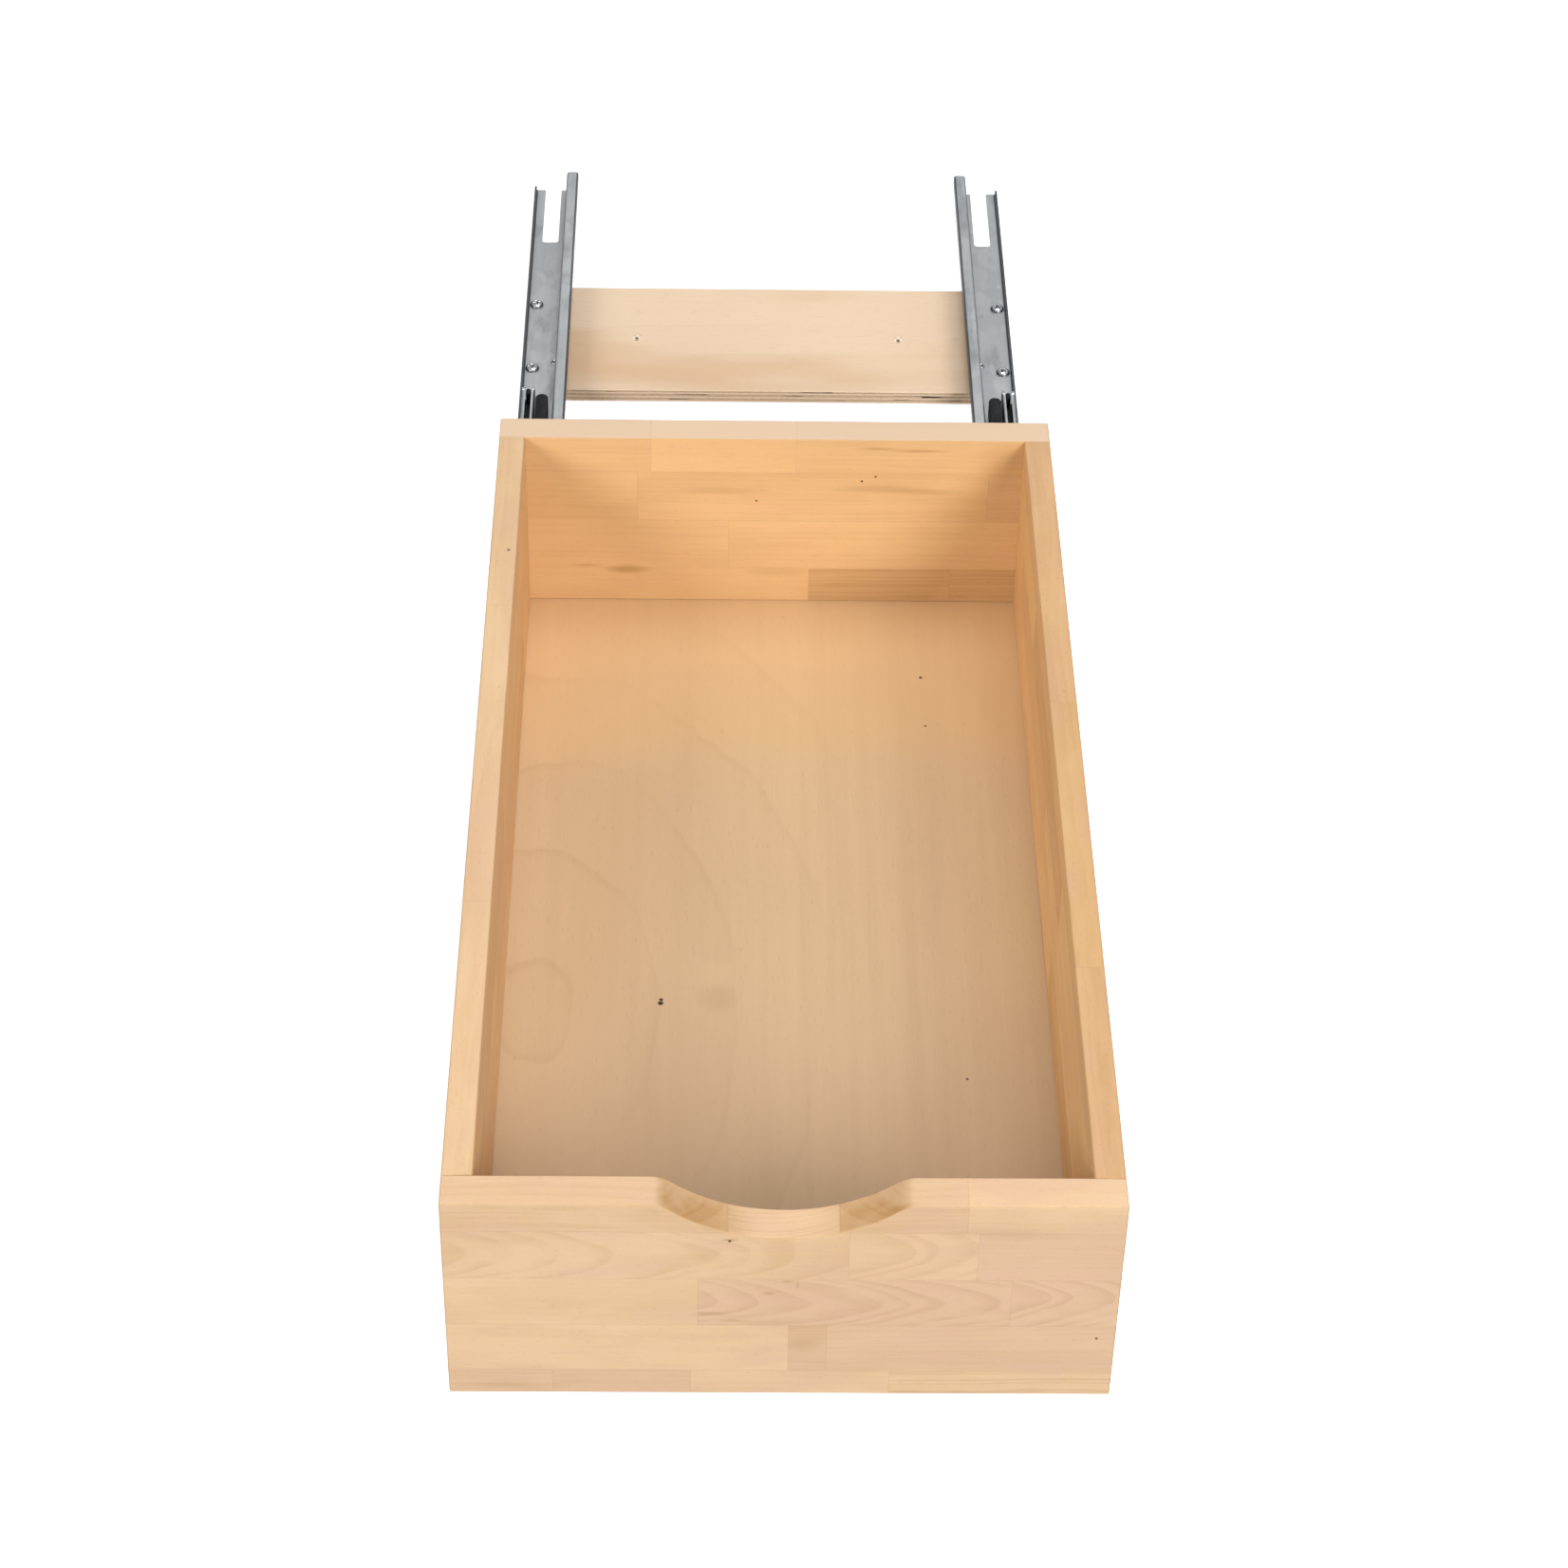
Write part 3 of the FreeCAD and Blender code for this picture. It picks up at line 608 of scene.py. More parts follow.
def scoopDrop(along, scoop):
    # How far the top edge is cut down. A wide arc is tangent to an entry round at each end. From the
    # crest inwards the round falls as its own circle does, then the wide circle takes over.
    halfWidth, depth, entry = scoop["halfWidth"], scoop["depth"], scoop["entry"]
    rise = depth - entry
    wide = (halfWidth ** 2 + rise ** 2 - entry ** 2) / (2 * depth)
    wideCentre = wide - depth                  # height of the wide arc's centre above the top edge
    share = entry / (entry + wide)
    touch = halfWidth * (1 - share)
    distance = np.abs(along)
    wideFall = np.sqrt(np.maximum(wide ** 2 - distance ** 2, 0)) - wideCentre
    entryFall = entry - np.sqrt(np.maximum(entry ** 2 - (distance - halfWidth) ** 2, 0))
    fall = np.where(distance < touch, wideFall, entryFall)
    return np.where(distance < halfWidth, fall, 0.0)


def edgeInset(distance, radius):
    # How far a rounded end has drawn in at this distance from the very end: a quarter circle.
    left = radius - np.minimum(distance, radius)
    return radius - np.sqrt(np.maximum(radius ** 2 - left ** 2, 0))


def stavedBoard(name, spec, material):
    # A rectangle with eased corners is carried along the grain, and draws in at both ends. Its two
    # halves, outer and inner, go from the middle of the lower edge to the middle of the upper edge
    # through the same heights, so a ladder of faces between them closes each end. The groove for the
    # bottom panel pushes some of the inner points in. The upper edge follows the scoop.
    low, high = [np.array(corner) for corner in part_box(spec["node"])]
    bottomLow, bottomHigh = [np.array(corner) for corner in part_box("bottom_panel")]
    axis = spec["axis"]
    side = 1 - axis
    scoop = spec["scoop"]
    edge = spec["edge"]
    hidden = boardShape["hiddenEdge"]
    steps = boardShape["cornerSteps"]
    support = boardShape["support"]
    margin = boardShape["margin"]
    start, end = low[axis], high[axis]
    floorZ, topZ = low[2], high[2]
    middle = (low[side] + high[side]) / 2
    half = (high[side] - low[side]) / 2
    isEnd = axis == 0
    rng = np.random.default_rng(spec["seed"])

    grooveLow, grooveHigh = bottomLow[2], bottomHigh[2] + boardShape["groovePlay"]
    inner = -spec["outwards"]
    reach = bottomHigh[side] if inner < 0 else bottomLow[side]
    innerFace = middle + inner * half
    grooveDepth = abs(reach - innerFace) + boardShape["groovePlay"] / 2

    # Columns along the grain.
    columns = [np.arange(start, end, boardShape["columnStep"]), [start, end]]
    fraction = 1 - np.sin(np.linspace(0, math.pi / 2, steps + 1))
    columns += [start + edge * fraction, end - edge * fraction]
    columns += [start + hidden * fraction, end - hidden * fraction]
    columns += [[start + edge + support, end - edge - support]]
    for row in spec["joints"]:
        columns.append([place for place in row if start < place < end])
    if scoop:
        halfWidth = scoop["halfWidth"]
        columns.append(np.arange(-halfWidth - margin, halfWidth + margin, boardShape["scoopStep"]))
        # where the cut-out crosses the uppermost glue line
        sample = np.linspace(0, halfWidth, 4001)
        crossing = np.interp(-(topZ - floorZ - spec["glueLines"][-1]), -scoopDrop(sample, scoop), sample)
        columns.append([-crossing, crossing])
    columns = np.unique(np.round(np.concatenate(columns), 7))
    columns = columns[np.concatenate([[True], np.diff(columns) > boardShape["closest"]])]
    columns[-1] = end
    grooveOn = np.ones(len(columns))
    if isEnd:
        # The groove is stopped: a doubled column gives it an upright end.
        stops = [bottomLow[0] - boardShape["stopPlay"], bottomHigh[0] + boardShape["stopPlay"]]
        columns = np.sort(np.concatenate([columns, stops, stops]))
        grooveOn = ((columns > stops[0]) & (columns < stops[1])).astype(float)
        grooveOn[np.flatnonzero(columns == stops[0])[1]] = 1.0
        grooveOn[np.flatnonzero(columns == stops[1])[0]] = 1.0

    # Heights shared by both halves.
    lines = floorZ + np.array(spec["glueLines"])
    levels = [np.arange(floorZ + margin, topZ - margin, boardShape["levelStep"]), lines]
    levels = np.concatenate(levels + [[floorZ + edge + support, topZ - edge - support]])
    levels = levels[(levels < grooveLow - hidden) | (levels > grooveHigh + hidden)]
    if scoop:
        lowest = topZ - scoop["depth"] - edge
        levels = levels[(levels < lowest - 0.002) | np.isin(levels, lines) | (levels > topZ - edge - 0.001)]
        levels = np.concatenate([levels, [lowest - support]])
    levels = np.sort(np.concatenate([levels, [grooveLow, grooveLow, grooveHigh, grooveHigh]]))
    inGroove = np.zeros(len(levels))
    inGroove[np.flatnonzero(levels == grooveLow)[1]] = 1.0
    inGroove[np.flatnonzero(levels == grooveHigh)[0]] = 1.0

    u = columns[:, None]
    toEnd = np.minimum(u - start, end - u)
    top = np.full_like(u, topZ)
    if scoop:
        top = topZ - scoopDrop(u, scoop)
    # Hand sanding leaves the easing slightly uneven along an edge.
    phase = rng.uniform(0, 6.28, 6)
    uneven = 1 + 0.10 * np.sin(u * 61 + phase[0]) + 0.07 * np.sin(u * 143 + phase[1])
    endRound = boardShape["endRound"] if isEnd else hidden
    bottomEdge = floorZ + edgeInset(toEnd, endRound)
    topEdge = top - edgeInset(toEnd, endRound)

    def halfSection(outer):
        faceRound = edge if (outer and isEnd) else hidden
        depth = half - edgeInset(toEnd, faceRound)
        lowerRound = edge * uneven if (outer and isEnd) else np.full_like(u, hidden)
        upperRound = edge * (uneven if outer else 2 - uneven)
        upperRound = np.minimum(upperRound, edge * boardShape["mostEase"])
        angle = np.linspace(0, math.pi / 2, steps + 1)[None, :]
        flat = np.array([0.0, 0.5])[None, :]
        capSupport = boardShape["capSupport"]
        parts = [
            (flat * (depth - lowerRound), bottomEdge + 0 * flat, 0 * flat),
            (depth - lowerRound - capSupport + 0 * u, bottomEdge, 0 * u),
            (depth - lowerRound + lowerRound * np.sin(angle), bottomEdge + lowerRound * (1 - np.cos(angle)),
             np.sin(2 * angle)),
        ]
        ceiling = topEdge - upperRound
        bottom = bottomEdge + lowerRound
        sideHeights = np.clip(levels[None, :] + 0 * u, bottom, ceiling)
        cut = inGroove[None, :] * grooveOn[:, None] * grooveDepth * (0.0 if outer else 1.0)
        parts.append((depth - cut, sideHeights, 0 * sideHeights))
        parts.append((depth - upperRound + upperRound * np.cos(angle), ceiling + upperRound * np.sin(angle),
                      np.sin(2 * angle)))
        parts.append((depth - upperRound - capSupport, topEdge, 0 * u))
        parts.append((flat[:, ::-1] * (depth - upperRound), topEdge + 0 * flat, 0 * flat))
        widths = [max(values.shape[1] for values in part) for part in parts]
        whole = [[np.broadcast_to(values, (len(columns), width)) for values in part]
                 for part, width in zip(parts, widths)]
        return [np.concatenate([part[k] for part in whole], axis=1) for k in range(3)]

    # The third part marks the eased edges for painted shade.
    outerDepth, outerHeight, outerEdgeShade = halfSection(True)
    innerDepth, innerHeight, innerEdgeShade = halfSection(False)
    across = np.concatenate([outerHeight, innerHeight[:, ::-1]], axis=1)
    through = np.concatenate([outerDepth, -innerDepth[:, ::-1]], axis=1) * spec["outwards"]
    edgeWearAndShade = np.concatenate([outerEdgeShade, innerEdgeShade[:, ::-1]], axis=1)
    along = np.broadcast_to(u, across.shape)
    stations = outerHeight.shape[1]
    count = 2 * stations

    points = np.zeros(across.shape + (3,))
    points[..., axis] = along
    points[..., side] = middle + through
    points[..., 2] = across
    points = points.reshape(-1, 3)
    quads = [gridQuads(len(columns), count, closed=True)]
    ladder = np.arange(stations - 1)
    for first in (0, (len(columns) - 1) * count):
        rungs = [first + ladder, first + ladder + 1, first + count - 2 - ladder, first + count - 1 - ladder]
        rungs = np.stack(rungs, axis=-1)
        quads.append(rungs if first else rungs[:, ::-1])
    quads = np.concatenate(quads)

    place = np.stack([along.ravel(), across.ravel() - floorZ, through.ravel()], axis=-1)

    # Which stave each face belongs to, and how far its corners are from that stave's joints.
    cornerPlace = place[quads]
    centre = cornerPlace.mean(axis=1)
    rowOf = np.searchsorted(np.array(spec["glueLines"]), centre[:, 1])
    rowBounds = np.concatenate([[-1.0], spec["glueLines"], [1.0]])
    staveOf = np.zeros(len(quads), int)
    looks = []
    bounds = []
    for row, (joints, kinds) in enumerate(zip(spec["joints"], spec["kinds"])):
        inRow = rowOf == row
        staveOf[inRow] = len(looks) + np.searchsorted(np.array(joints), centre[inRow, 0])
        ends = np.concatenate([[-9.0], joints, [9.0]])
        rowMiddle = (max(rowBounds[row], 0.0) + min(rowBounds[row + 1], topZ - floorZ)) / 2
        for stave, kind in enumerate(kinds):
            pithAcross, pithThrough, ring, leanAcross, leanThrough, strength, light, warm = staveKinds[kind]
            draw = rng.uniform(-1, 1, 6)
            anchor = (max(ends[stave], start) + min(ends[stave + 1], end)) / 2
            leanAcross *= 1 + 0.4 * draw[0]
            leanThrough *= 1 + 0.15 * draw[1]
            looks.append((
                rowMiddle + pithAcross * (1 + 0.1 * draw[2]) - leanAcross * anchor,
                -(pithThrough * (1 + 0.15 * draw[3])) * spec["outwards"] - leanThrough * anchor,
                ring, leanAcross, leanThrough, strength,
                light + 0.12 * draw[4], warm + 0.10 * draw[5], rng.uniform()))
            bounds.append((ends[stave], ends[stave + 1], rowBounds[row], rowBounds[row + 1]))
    looks = np.array(looks)[staveOf]
    bounds = np.array(bounds)[staveOf][:, None, :]
    buttGap = np.minimum(cornerPlace[..., 0] - bounds[..., 0], bounds[..., 1] - cornerPlace[..., 0])
    glueGap = np.minimum(cornerPlace[..., 1] - bounds[..., 2], bounds[..., 3] - cornerPlace[..., 1])
    seam = np.clip(np.stack([buttGap, glueGap, 0 * glueGap], axis=-1), 0, 0.05)

    piece = makePiece(
        name, points, quads, material,
        pointValues={"place": place, "edgeWearAndShade": edgeWearAndShade.ravel()},
        faceValues={"pith": looks[:, 0:3], "lean": looks[:, 3:6], "tint": looks[:, 6:9]},
        cornerValues={"seam": seam})
    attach(piece, "drawer")
    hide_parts(spec["node"])
    return piece


# Small knots: x, y, z and radius.
frontKnots = [(0.132, frontLow.y, frontLow.z + 0.036, 0.0009),
              (-0.022, frontLow.y, frontLow.z + 0.095, 0.0010)]
backKnots = [(0.045, backLow.y, backLow.z + 0.090, 0.0009),
             (0.052, backLow.y, backLow.z + 0.093, 0.0008),
             (-0.009, backLow.y, backLow.z + 0.077, 0.0008)]
leftLow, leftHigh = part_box("left_side_panel")
rightLow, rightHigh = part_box("right_side_panel")
leftKnots = [(leftLow.x + 0.009, leftHigh.y - 0.094, leftHigh.z, 0.0010)]
rightKnots = [(rightLow.x, rightHigh.y - 0.30, rightLow.z + 0.070, 0.0008)]

scoopWear = (0.0, (frontLow.y + frontHigh.y) / 2, frontHigh.z - 0.020, 0.085)
stavedBoard("frontPanel", frontPanel, stavedWood("frontWood", frontPanel, frontKnots, scoopWear))
stavedBoard("backPanel", backPanel, stavedWood("backWood", backPanel, backKnots))
stavedBoard("leftSide", leftPanel, stavedWood("leftWood", leftPanel, leftKnots))
stavedBoard("rightSide", rightPanel, stavedWood("rightWood", rightPanel, rightKnots))
print("drawer box: four staved boards")


# Plywood

bottomLow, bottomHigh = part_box("bottom_panel")
bottomLook = {
    "grainAxis": 1, "base": bottomLow.z, "plyThickness": 0.0012, "roughness": 0.46,
    "centre": (-0.112, -0.272), "spread": (0.100, 0.185), "wave": 0.20,
    "rings": 2.6, "lines": 0.14, "linesEnd": 0.02, "jagged": 0.16, "streaks": 0.46, "streakFrom": -0.01,
    "clouds": 0.20, "depth": 0.14,
    "pale": (0.735, 0.514, 0.288, 1), "dark": (0.47, 0.285, 0.145, 1), "edge": (0.36, 0.21, 0.10, 1),
    "warm": (0.620, 0.415, 0.225, 1), "warmth": 0.30,
    "pore": (0.33, 0.19, 0.10, 1), "knot": (0.035, 0.018, 0.010, 1),
    "knots": [(-0.0539, -0.2666, bottomHigh.z, 0.0019), (-0.0537, -0.2643, bottomHigh.z, 0.0014),
              (0.076, -0.0257, bottomHigh.z, 0.0012), (0.077, -0.0643, bottomHigh.z, 0.0009),
              (0.087, -0.3151, bottomHigh.z, 0.0009)],
    "paleSpots": [(-0.028, -0.247, bottomHigh.z, 0.013)],
    "darkSpots": [(-0.027, -0.263, bottomHigh.z, 0.012)],
    # painted light along Y, warm bounce at the rear and shade at the front: where each change starts and
    # ends, its strength and colour
    "paintedLightZones": ((-0.125, -0.055, 0.42, (0.80, 0.505, 0.225, 1)),
              (-0.230, -0.400, 0.42, (0.52, 0.365, 0.225, 1))),
}

boardLow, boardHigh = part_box("rear_board")
boardLook = {
    "grainAxis": 0, "base": boardLow.z, "plyThickness": 0.00134, "roughness": 0.50,
    "centre": (-0.02, boardLow.y + 0.03), "spread": (0.20, 0.060), "wave": 0.45,
    "rings": 2.2, "lines": 0.12, "linesEnd": boardHigh.x, "jagged": 0.20, "streaks": 0.10,
    "streakFrom": boardLow.x, "clouds": 0.36, "depth": 0.04,
    "pale": (0.950, 0.705, 0.470, 1), "dark": (0.58, 0.38, 0.22, 1), "edge": (0.36, 0.21, 0.10, 1),
    "warm": (0.800, 0.490, 0.250, 1), "warmth": 0.60,
    "pore": (0.40, 0.25, 0.14, 1), "knot": (0.045, 0.024, 0.012, 1),
    # painted shade in each pilot hole
    "knots": [(x, (boardLow.y + boardHigh.y) / 2 - 0.0012, boardHigh.z, 0.0017) for x in (-0.077, 0.077)],
    "paleSpots": [],
    # a dark smudge, then painted shadow cast by each rail near the front edge
    "darkSpots": [(0.111, boardHigh.y - 0.051, boardHigh.z, 0.0035),
                  (0.128, boardLow.y + 0.004, boardHigh.z, 0.012),
                  (-0.124, boardLow.y + 0.004, boardHigh.z, 0.016)],
    "paintedLightZones": (),
}

torn = {"inner": 0.0011, "outer": 0.0034, "lift": 0.0017, "sink": 0.0002, "points": 64, "seed": 5,
        "spacing": 0.154, "colour": (0.97, 0.85, 0.68, 1)}


def tornRims(name, node, material):
    # Fibres torn up round each pilot hole. A low wedge section is carried round the hole: its height
    # swells and shrinks with the angle as a sum of sines, and is greatest towards the rear.
    low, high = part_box(node)
    rng = np.random.default_rng(torn["seed"])
    allPoints = []
    allQuads = []
    angle = np.linspace(0, 2 * math.pi, torn["points"], endpoint=False)[:, None]
    t = np.array([0.0, 0.0, 0.12, 0.3, 0.55, 0.8, 1.0, 1.0])[None, :]
    crest = np.array([-1.0, 0.75, 1.0, 0.8, 0.42, 0.14, 0.0, -1.0])[None, :]
    for sideX in (-1, 1):
        phase = rng.uniform(0, 6.28, 4)
        swell = 0.22 + 0.74 * np.sin(angle + 0.04 * phase[0]) + 0.14 * np.sin(3 * angle + phase[1])
        swell = swell + 0.12 * np.sin(7 * angle + phase[2]) + 0.08 * np.sin(13 * angle + phase[3])
        swell = np.clip(swell, 0.0, 1.0)
        radius = torn["inner"] + (torn["outer"] - torn["inner"]) * t * (0.65 + 0.35 * swell)
        flat = 1 - np.minimum(5 * swell, 1)        # 1 where nothing is torn up, and the rim sinks in
        height = crest * torn["lift"] * swell - torn["sink"] * flat * 0.7
        height = np.where(crest < 0, -torn["sink"], np.maximum(height, -torn["sink"]))
        x = sideX * torn["spacing"] / 2 + radius * np.cos(angle)
        y = (low.y + high.y) / 2 + radius * np.sin(angle)
        rim = np.stack([x, y, high.z + height], axis=-1)
        numbers = gridQuads(torn["points"], t.shape[1], closed=True)
        lastRow = (torn["points"] - 1) * t.shape[1]
        column = np.arange(t.shape[1])
        following = np.roll(column, -1)
        closing = np.stack([lastRow + column, lastRow + following, following, column], axis=-1)
        allQuads.append(np.concatenate([numbers, closing]) + sum(len(p) for p in allPoints))
        allPoints.append(rim.reshape(-1, 3))
    piece = makePiece(name, np.concatenate(allPoints), np.concatenate(allQuads), material)
    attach(piece, "base")


def freshWood():
    material, tree, shader = newSurface("freshFibre")
    position = objectPlace(tree)
    fibre = grain(tree, stretch(tree, position, (300.0, 2600.0, 2600.0)), 2.0, 0.6)
    tone = ease(tree, fibre, 0.35, 0.7, 0.0, 0.55)
    colour = blend(tree, tone, torn["colour"], boardLook["dark"])
    finishSurface(tree, shader, colour, rescale(tree, fibre, 0.2, 0.6), fibre, 0.5, 0.0002)
    return material


bottomPly = plyWood("bottomPly", bottomLook)
boardPly = plyWood("boardPly", boardLook)
fibre = freshWood()
tornRims("rearHoleFibres", "rear_board", fibre)
tornRims("frontHoleFibres", "front_board", fibre)
print("plywood: bottom and cross boards")


# Metal, plastic and rubber

steel = {
    "base": (0.895, 0.910, 0.885, 1), "bright": (0.985, 0.99, 0.97, 1), "dull": (0.56, 0.585, 0.575, 1),
    "shade": (0.085, 0.087, 0.09, 1), "channelShade": (0.030, 0.028, 0.026, 1),
    "spangle": 95.0, "roughness": 0.38, "uprightShade": 0.88, "bend": 0.80, "channelShadeStrength": 0.93,
    # noise scale in X and Z, then in Y
    "rolled": (520.0, 14.0), "smear": (70.0, 22.0), "scratch": (1700.0, 26.0), "speck": (900.0, 700.0),
    # how bright or dull each one makes the metal
    "tone": -0.16, "facetTone": 0.30, "rolledTone": 0.38, "smearTone": 0.60,
    "wornTone": 0.60, "scratchTone": 0.35, "speckTone": 0.40,
}


def drawnOut(tree, position, scale, detail, roughness):
    # Noise drawn out along Y. The scale holds one number for X and Z and one for Y.
    return grain(tree, stretch(tree, position, (scale[0], scale[1], scale[0])), detail, roughness)


def galvanised(name, look, shadedChannel=None, bends=()):
    # Zinc crystals a centimetre wide, drawn out by rolling, with faint smears and fine scratches.
    # Painted shade darkens the upstanding strips, which look sideways, and bands at the given
    # distances from the middle plane. Painted shade also darkens the inside of a running channel,
    # given as how far out it starts and ends and how high it reaches.
    material, tree, shader = newSurface(name)
    position = objectPlace(tree)
    crystal = put(tree, "TexVoronoi", {"Vector": stretch(tree, position, (1.25, 0.8, 1.25)),
                                       "Scale": look["spangle"], "Randomness": 1.0})
    facet = split(tree, crystal.outputs["Color"])[0]
    rolled = drawnOut(tree, position, look["rolled"], 3.0, 0.6)
    smear = drawnOut(tree, position, look["smear"], 3.0, 0.6)
    scratch = ease(tree, drawnOut(tree, position, look["scratch"], 1.0, 0.5), 0.68, 0.74)
    speck = ease(tree, drawnOut(tree, position, look["speck"], 1.0, 0.5), 0.70, 0.78)
    tone = total(tree, times(tree, facet, look["facetTone"]), times(tree, rolled, look["rolledTone"]),
                 times(tree, smear, look["smearTone"]), look["tone"])
    colour = blend(tree, clamped(tree, tone), look["base"], look["bright"])
    colour = stain(tree, colour, ease(tree, smear, 0.54, 0.72), look["wornTone"], look["dull"])
    colour = stain(tree, colour, scratch, look["scratchTone"], look["bright"])
    colour = stain(tree, colour, speck, look["speckTone"], look["dull"])
    outwards = calc(tree, "ABSOLUTE", split(tree, put(tree, "NewGeometry", {}).outputs["Normal"])[0])
    # Painted shade on faces that look sideways.
    colour = blend(tree, ease(tree, outwards, 0.30, 0.80, 0.0, look["uprightShade"]), colour, look["shade"])

    x, y, z = split(tree, position)
    fromMiddle = calc(tree, "ABSOLUTE", x)
    # Painted shade in bands along the bends.
    for start, end in bends:
        shadeBand = times(tree, ease(tree, fromMiddle, start - 0.0003, start + 0.0002),
                     ease(tree, fromMiddle, end - 0.0002, end + 0.0003, 1.0, 0.0))
        colour = stain(tree, colour, shadeBand, look["bend"], look["shade"])
    # Painted shade inside the running channel.
    if shadedChannel:
        start, end, top = shadedChannel
        inside = times(tree, ease(tree, fromMiddle, start - 0.0002, start + 0.0002),
                       ease(tree, fromMiddle, end - 0.0002, end + 0.0002, 1.0, 0.0))
        inside = times(tree, inside, ease(tree, z, top - 0.0004, top + 0.0002, look["channelShadeStrength"], 0.0))
        colour = blend(tree, inside, colour, look["channelShade"])

    roughness = total(tree, look["roughness"], times(tree, facet, 0.08),
                      times(tree, rolled, 0.12), times(tree, scratch, -0.10))
    height = total(tree, times(tree, rolled, 0.6), times(tree, facet, 0.25),
                   times(tree, scratch, -0.5), times(tree, speck, -0.4))
    finishSurface(tree, shader, colour, roughness, height, 0.25, 0.00006, Metallic=1.0)
    return material


def turnedSteel(name, base, roughnessBase):
    # Bright turned metal: fine rings along the X axis and small stains.
    material, tree, shader = newSurface(name)
    position = objectPlace(tree)
    rings = grain(tree, stretch(tree, position, (5200.0, 60.0, 60.0)), 2.0, 0.6)
    tarnish = drawnOut(tree, position, (260.0, 260.0), 3.0, 0.6)
    darker = tuple(value * 0.55 for value in base[:3]) + (1,)
    colour = blend(tree, ease(tree, tarnish, 0.5, 0.75, 0.0, 0.6), base, darker)
    roughness = total(tree, roughnessBase, times(tree, rings, 0.14), times(tree, tarnish, 0.1))
    finishSurface(tree, shader, colour, roughness, rings, 0.2, 0.00003, Metallic=1.0)
    return material


plating = {"bright": (0.97, 0.975, 0.97, 1), "cloudy": (0.62, 0.66, 0.68, 1),
           "paintedShadeColour": (0.045, 0.048, 0.052, 1), "paintedShadeTone": 0.86, "roughness": 0.12}


def platedScrew(name):
    # Bright zinc plate. Painted shade darkens the recess, the rim of the head, under it and an eyelet's
    # bore.
    material, tree, shader = newSurface(name)
    position = objectPlace(tree)
    cloud = drawnOut(tree, position, (700.0, 700.0), 3.0, 0.6)
    fine = drawnOut(tree, position, (3200.0, 3200.0), 1.0, 0.5)
    paintedShade = attribute(tree, "paintedShade").outputs["Fac"]
    colour = blend(tree, ease(tree, cloud, 0.4, 0.7, 0.0, 0.5), plating["bright"], plating["cloudy"])
    colour = stain(tree, colour, paintedShade, plating["paintedShadeTone"], plating["paintedShadeColour"])
    roughness = total(tree, plating["roughness"], times(tree, cloud, 0.14), times(tree, paintedShade, 0.25))
    finishSurface(tree, shader, colour, roughness, fine, 0.15, 0.00003, Metallic=1.0)
    return material


scuffColour = (0.09, 0.09, 0.092, 1)


def mouldedPlastic(name, base, roughnessBase):
    # Moulded surface: faint eroded texture, flow marks, and paler scuffs.
    material, tree, shader = newSurface(name)
    position = objectPlace(tree)
    pitted = drawnOut(tree, position, (2600.0, 2600.0), 2.0, 0.6)
    flow = drawnOut(tree, position, (240.0, 40.0), 3.0, 0.6)
    scuff = ease(tree, drawnOut(tree, position, (1500.0, 90.0), 1.0, 0.5), 0.66, 0.74)
    paler = tuple(value * 2.2 + 0.012 for value in base[:3]) + (1,)
    colour = blend(tree, ease(tree, flow, 0.35, 0.75, 0.0, 0.5), base, paler)
    colour = stain(tree, colour, scuff, 0.4, scuffColour)
    roughness = total(tree, roughnessBase, times(tree, pitted, 0.16), times(tree, scuff, 0.15))
    finishSurface(tree, shader, colour, roughness, pitted, 0.35, 0.00006, **{"Specular IOR Level": 0.22})
    return material


def dowelWood(name):
    # Straight beech along Y, with pressed flutes all round.
    material, tree, shader = newSurface(name)
    position = objectPlace(tree)
    streak = drawnOut(tree, position, (900.0, 20.0), 3.0, 0.6)
    fine = drawnOut(tree, position, (3000.0, 90.0), 2.0, 0.6)
    tone = times(tree, streak, rescale(tree, fine, 0.6, 0.5))
    colour = blend(tree, tone, solidWood["pale"], solidWood["brown"])
    finishSurface(tree, shader, colour, rescale(tree, fine, 0.2, 0.5), streak, 0.4, 0.0002)
    return material


# Screws

boardScrew = {"radius": 0.0040, "height": 0.0022, "shank": 0.0019, "thread": 0.00035, "pitch": 0.0015,
              "cross": 0.0023, "slot": 0.00052, "sink": 0.0013}
railScrew = {"radius": 0.0032, "height": 0.0019, "shank": 0.0015, "thread": 0.00030, "pitch": 0.0013,
             "cross": 0.0019, "slot": 0.00045, "sink": 0.0011,
             "places": (0.0, 0.150, 0.300, 0.455)}    # from the front screw of each rail
screwShape = {
    "turnSteps": 72, "headSteps": 26, "underSteps": 5, "shankSteps": 44,
    "domeAcross": 2.7, "domeUp": 2.3,                  # powers of the superellipse
    "wingEnd": 0.00035, "wingSide": 0.00022,           # how far the recess walls lean
    "recessFall": 0.45, "thinnest": 0.0002,
    "rimStart": 0.78, "rimEnd": 0.98,                  # painted shade towards the rim of the head
    "rimShade": 0.92, "underShade": 0.55, "shankShade": 0.1,
    "underside": 0.97, "point": 0.003,
}


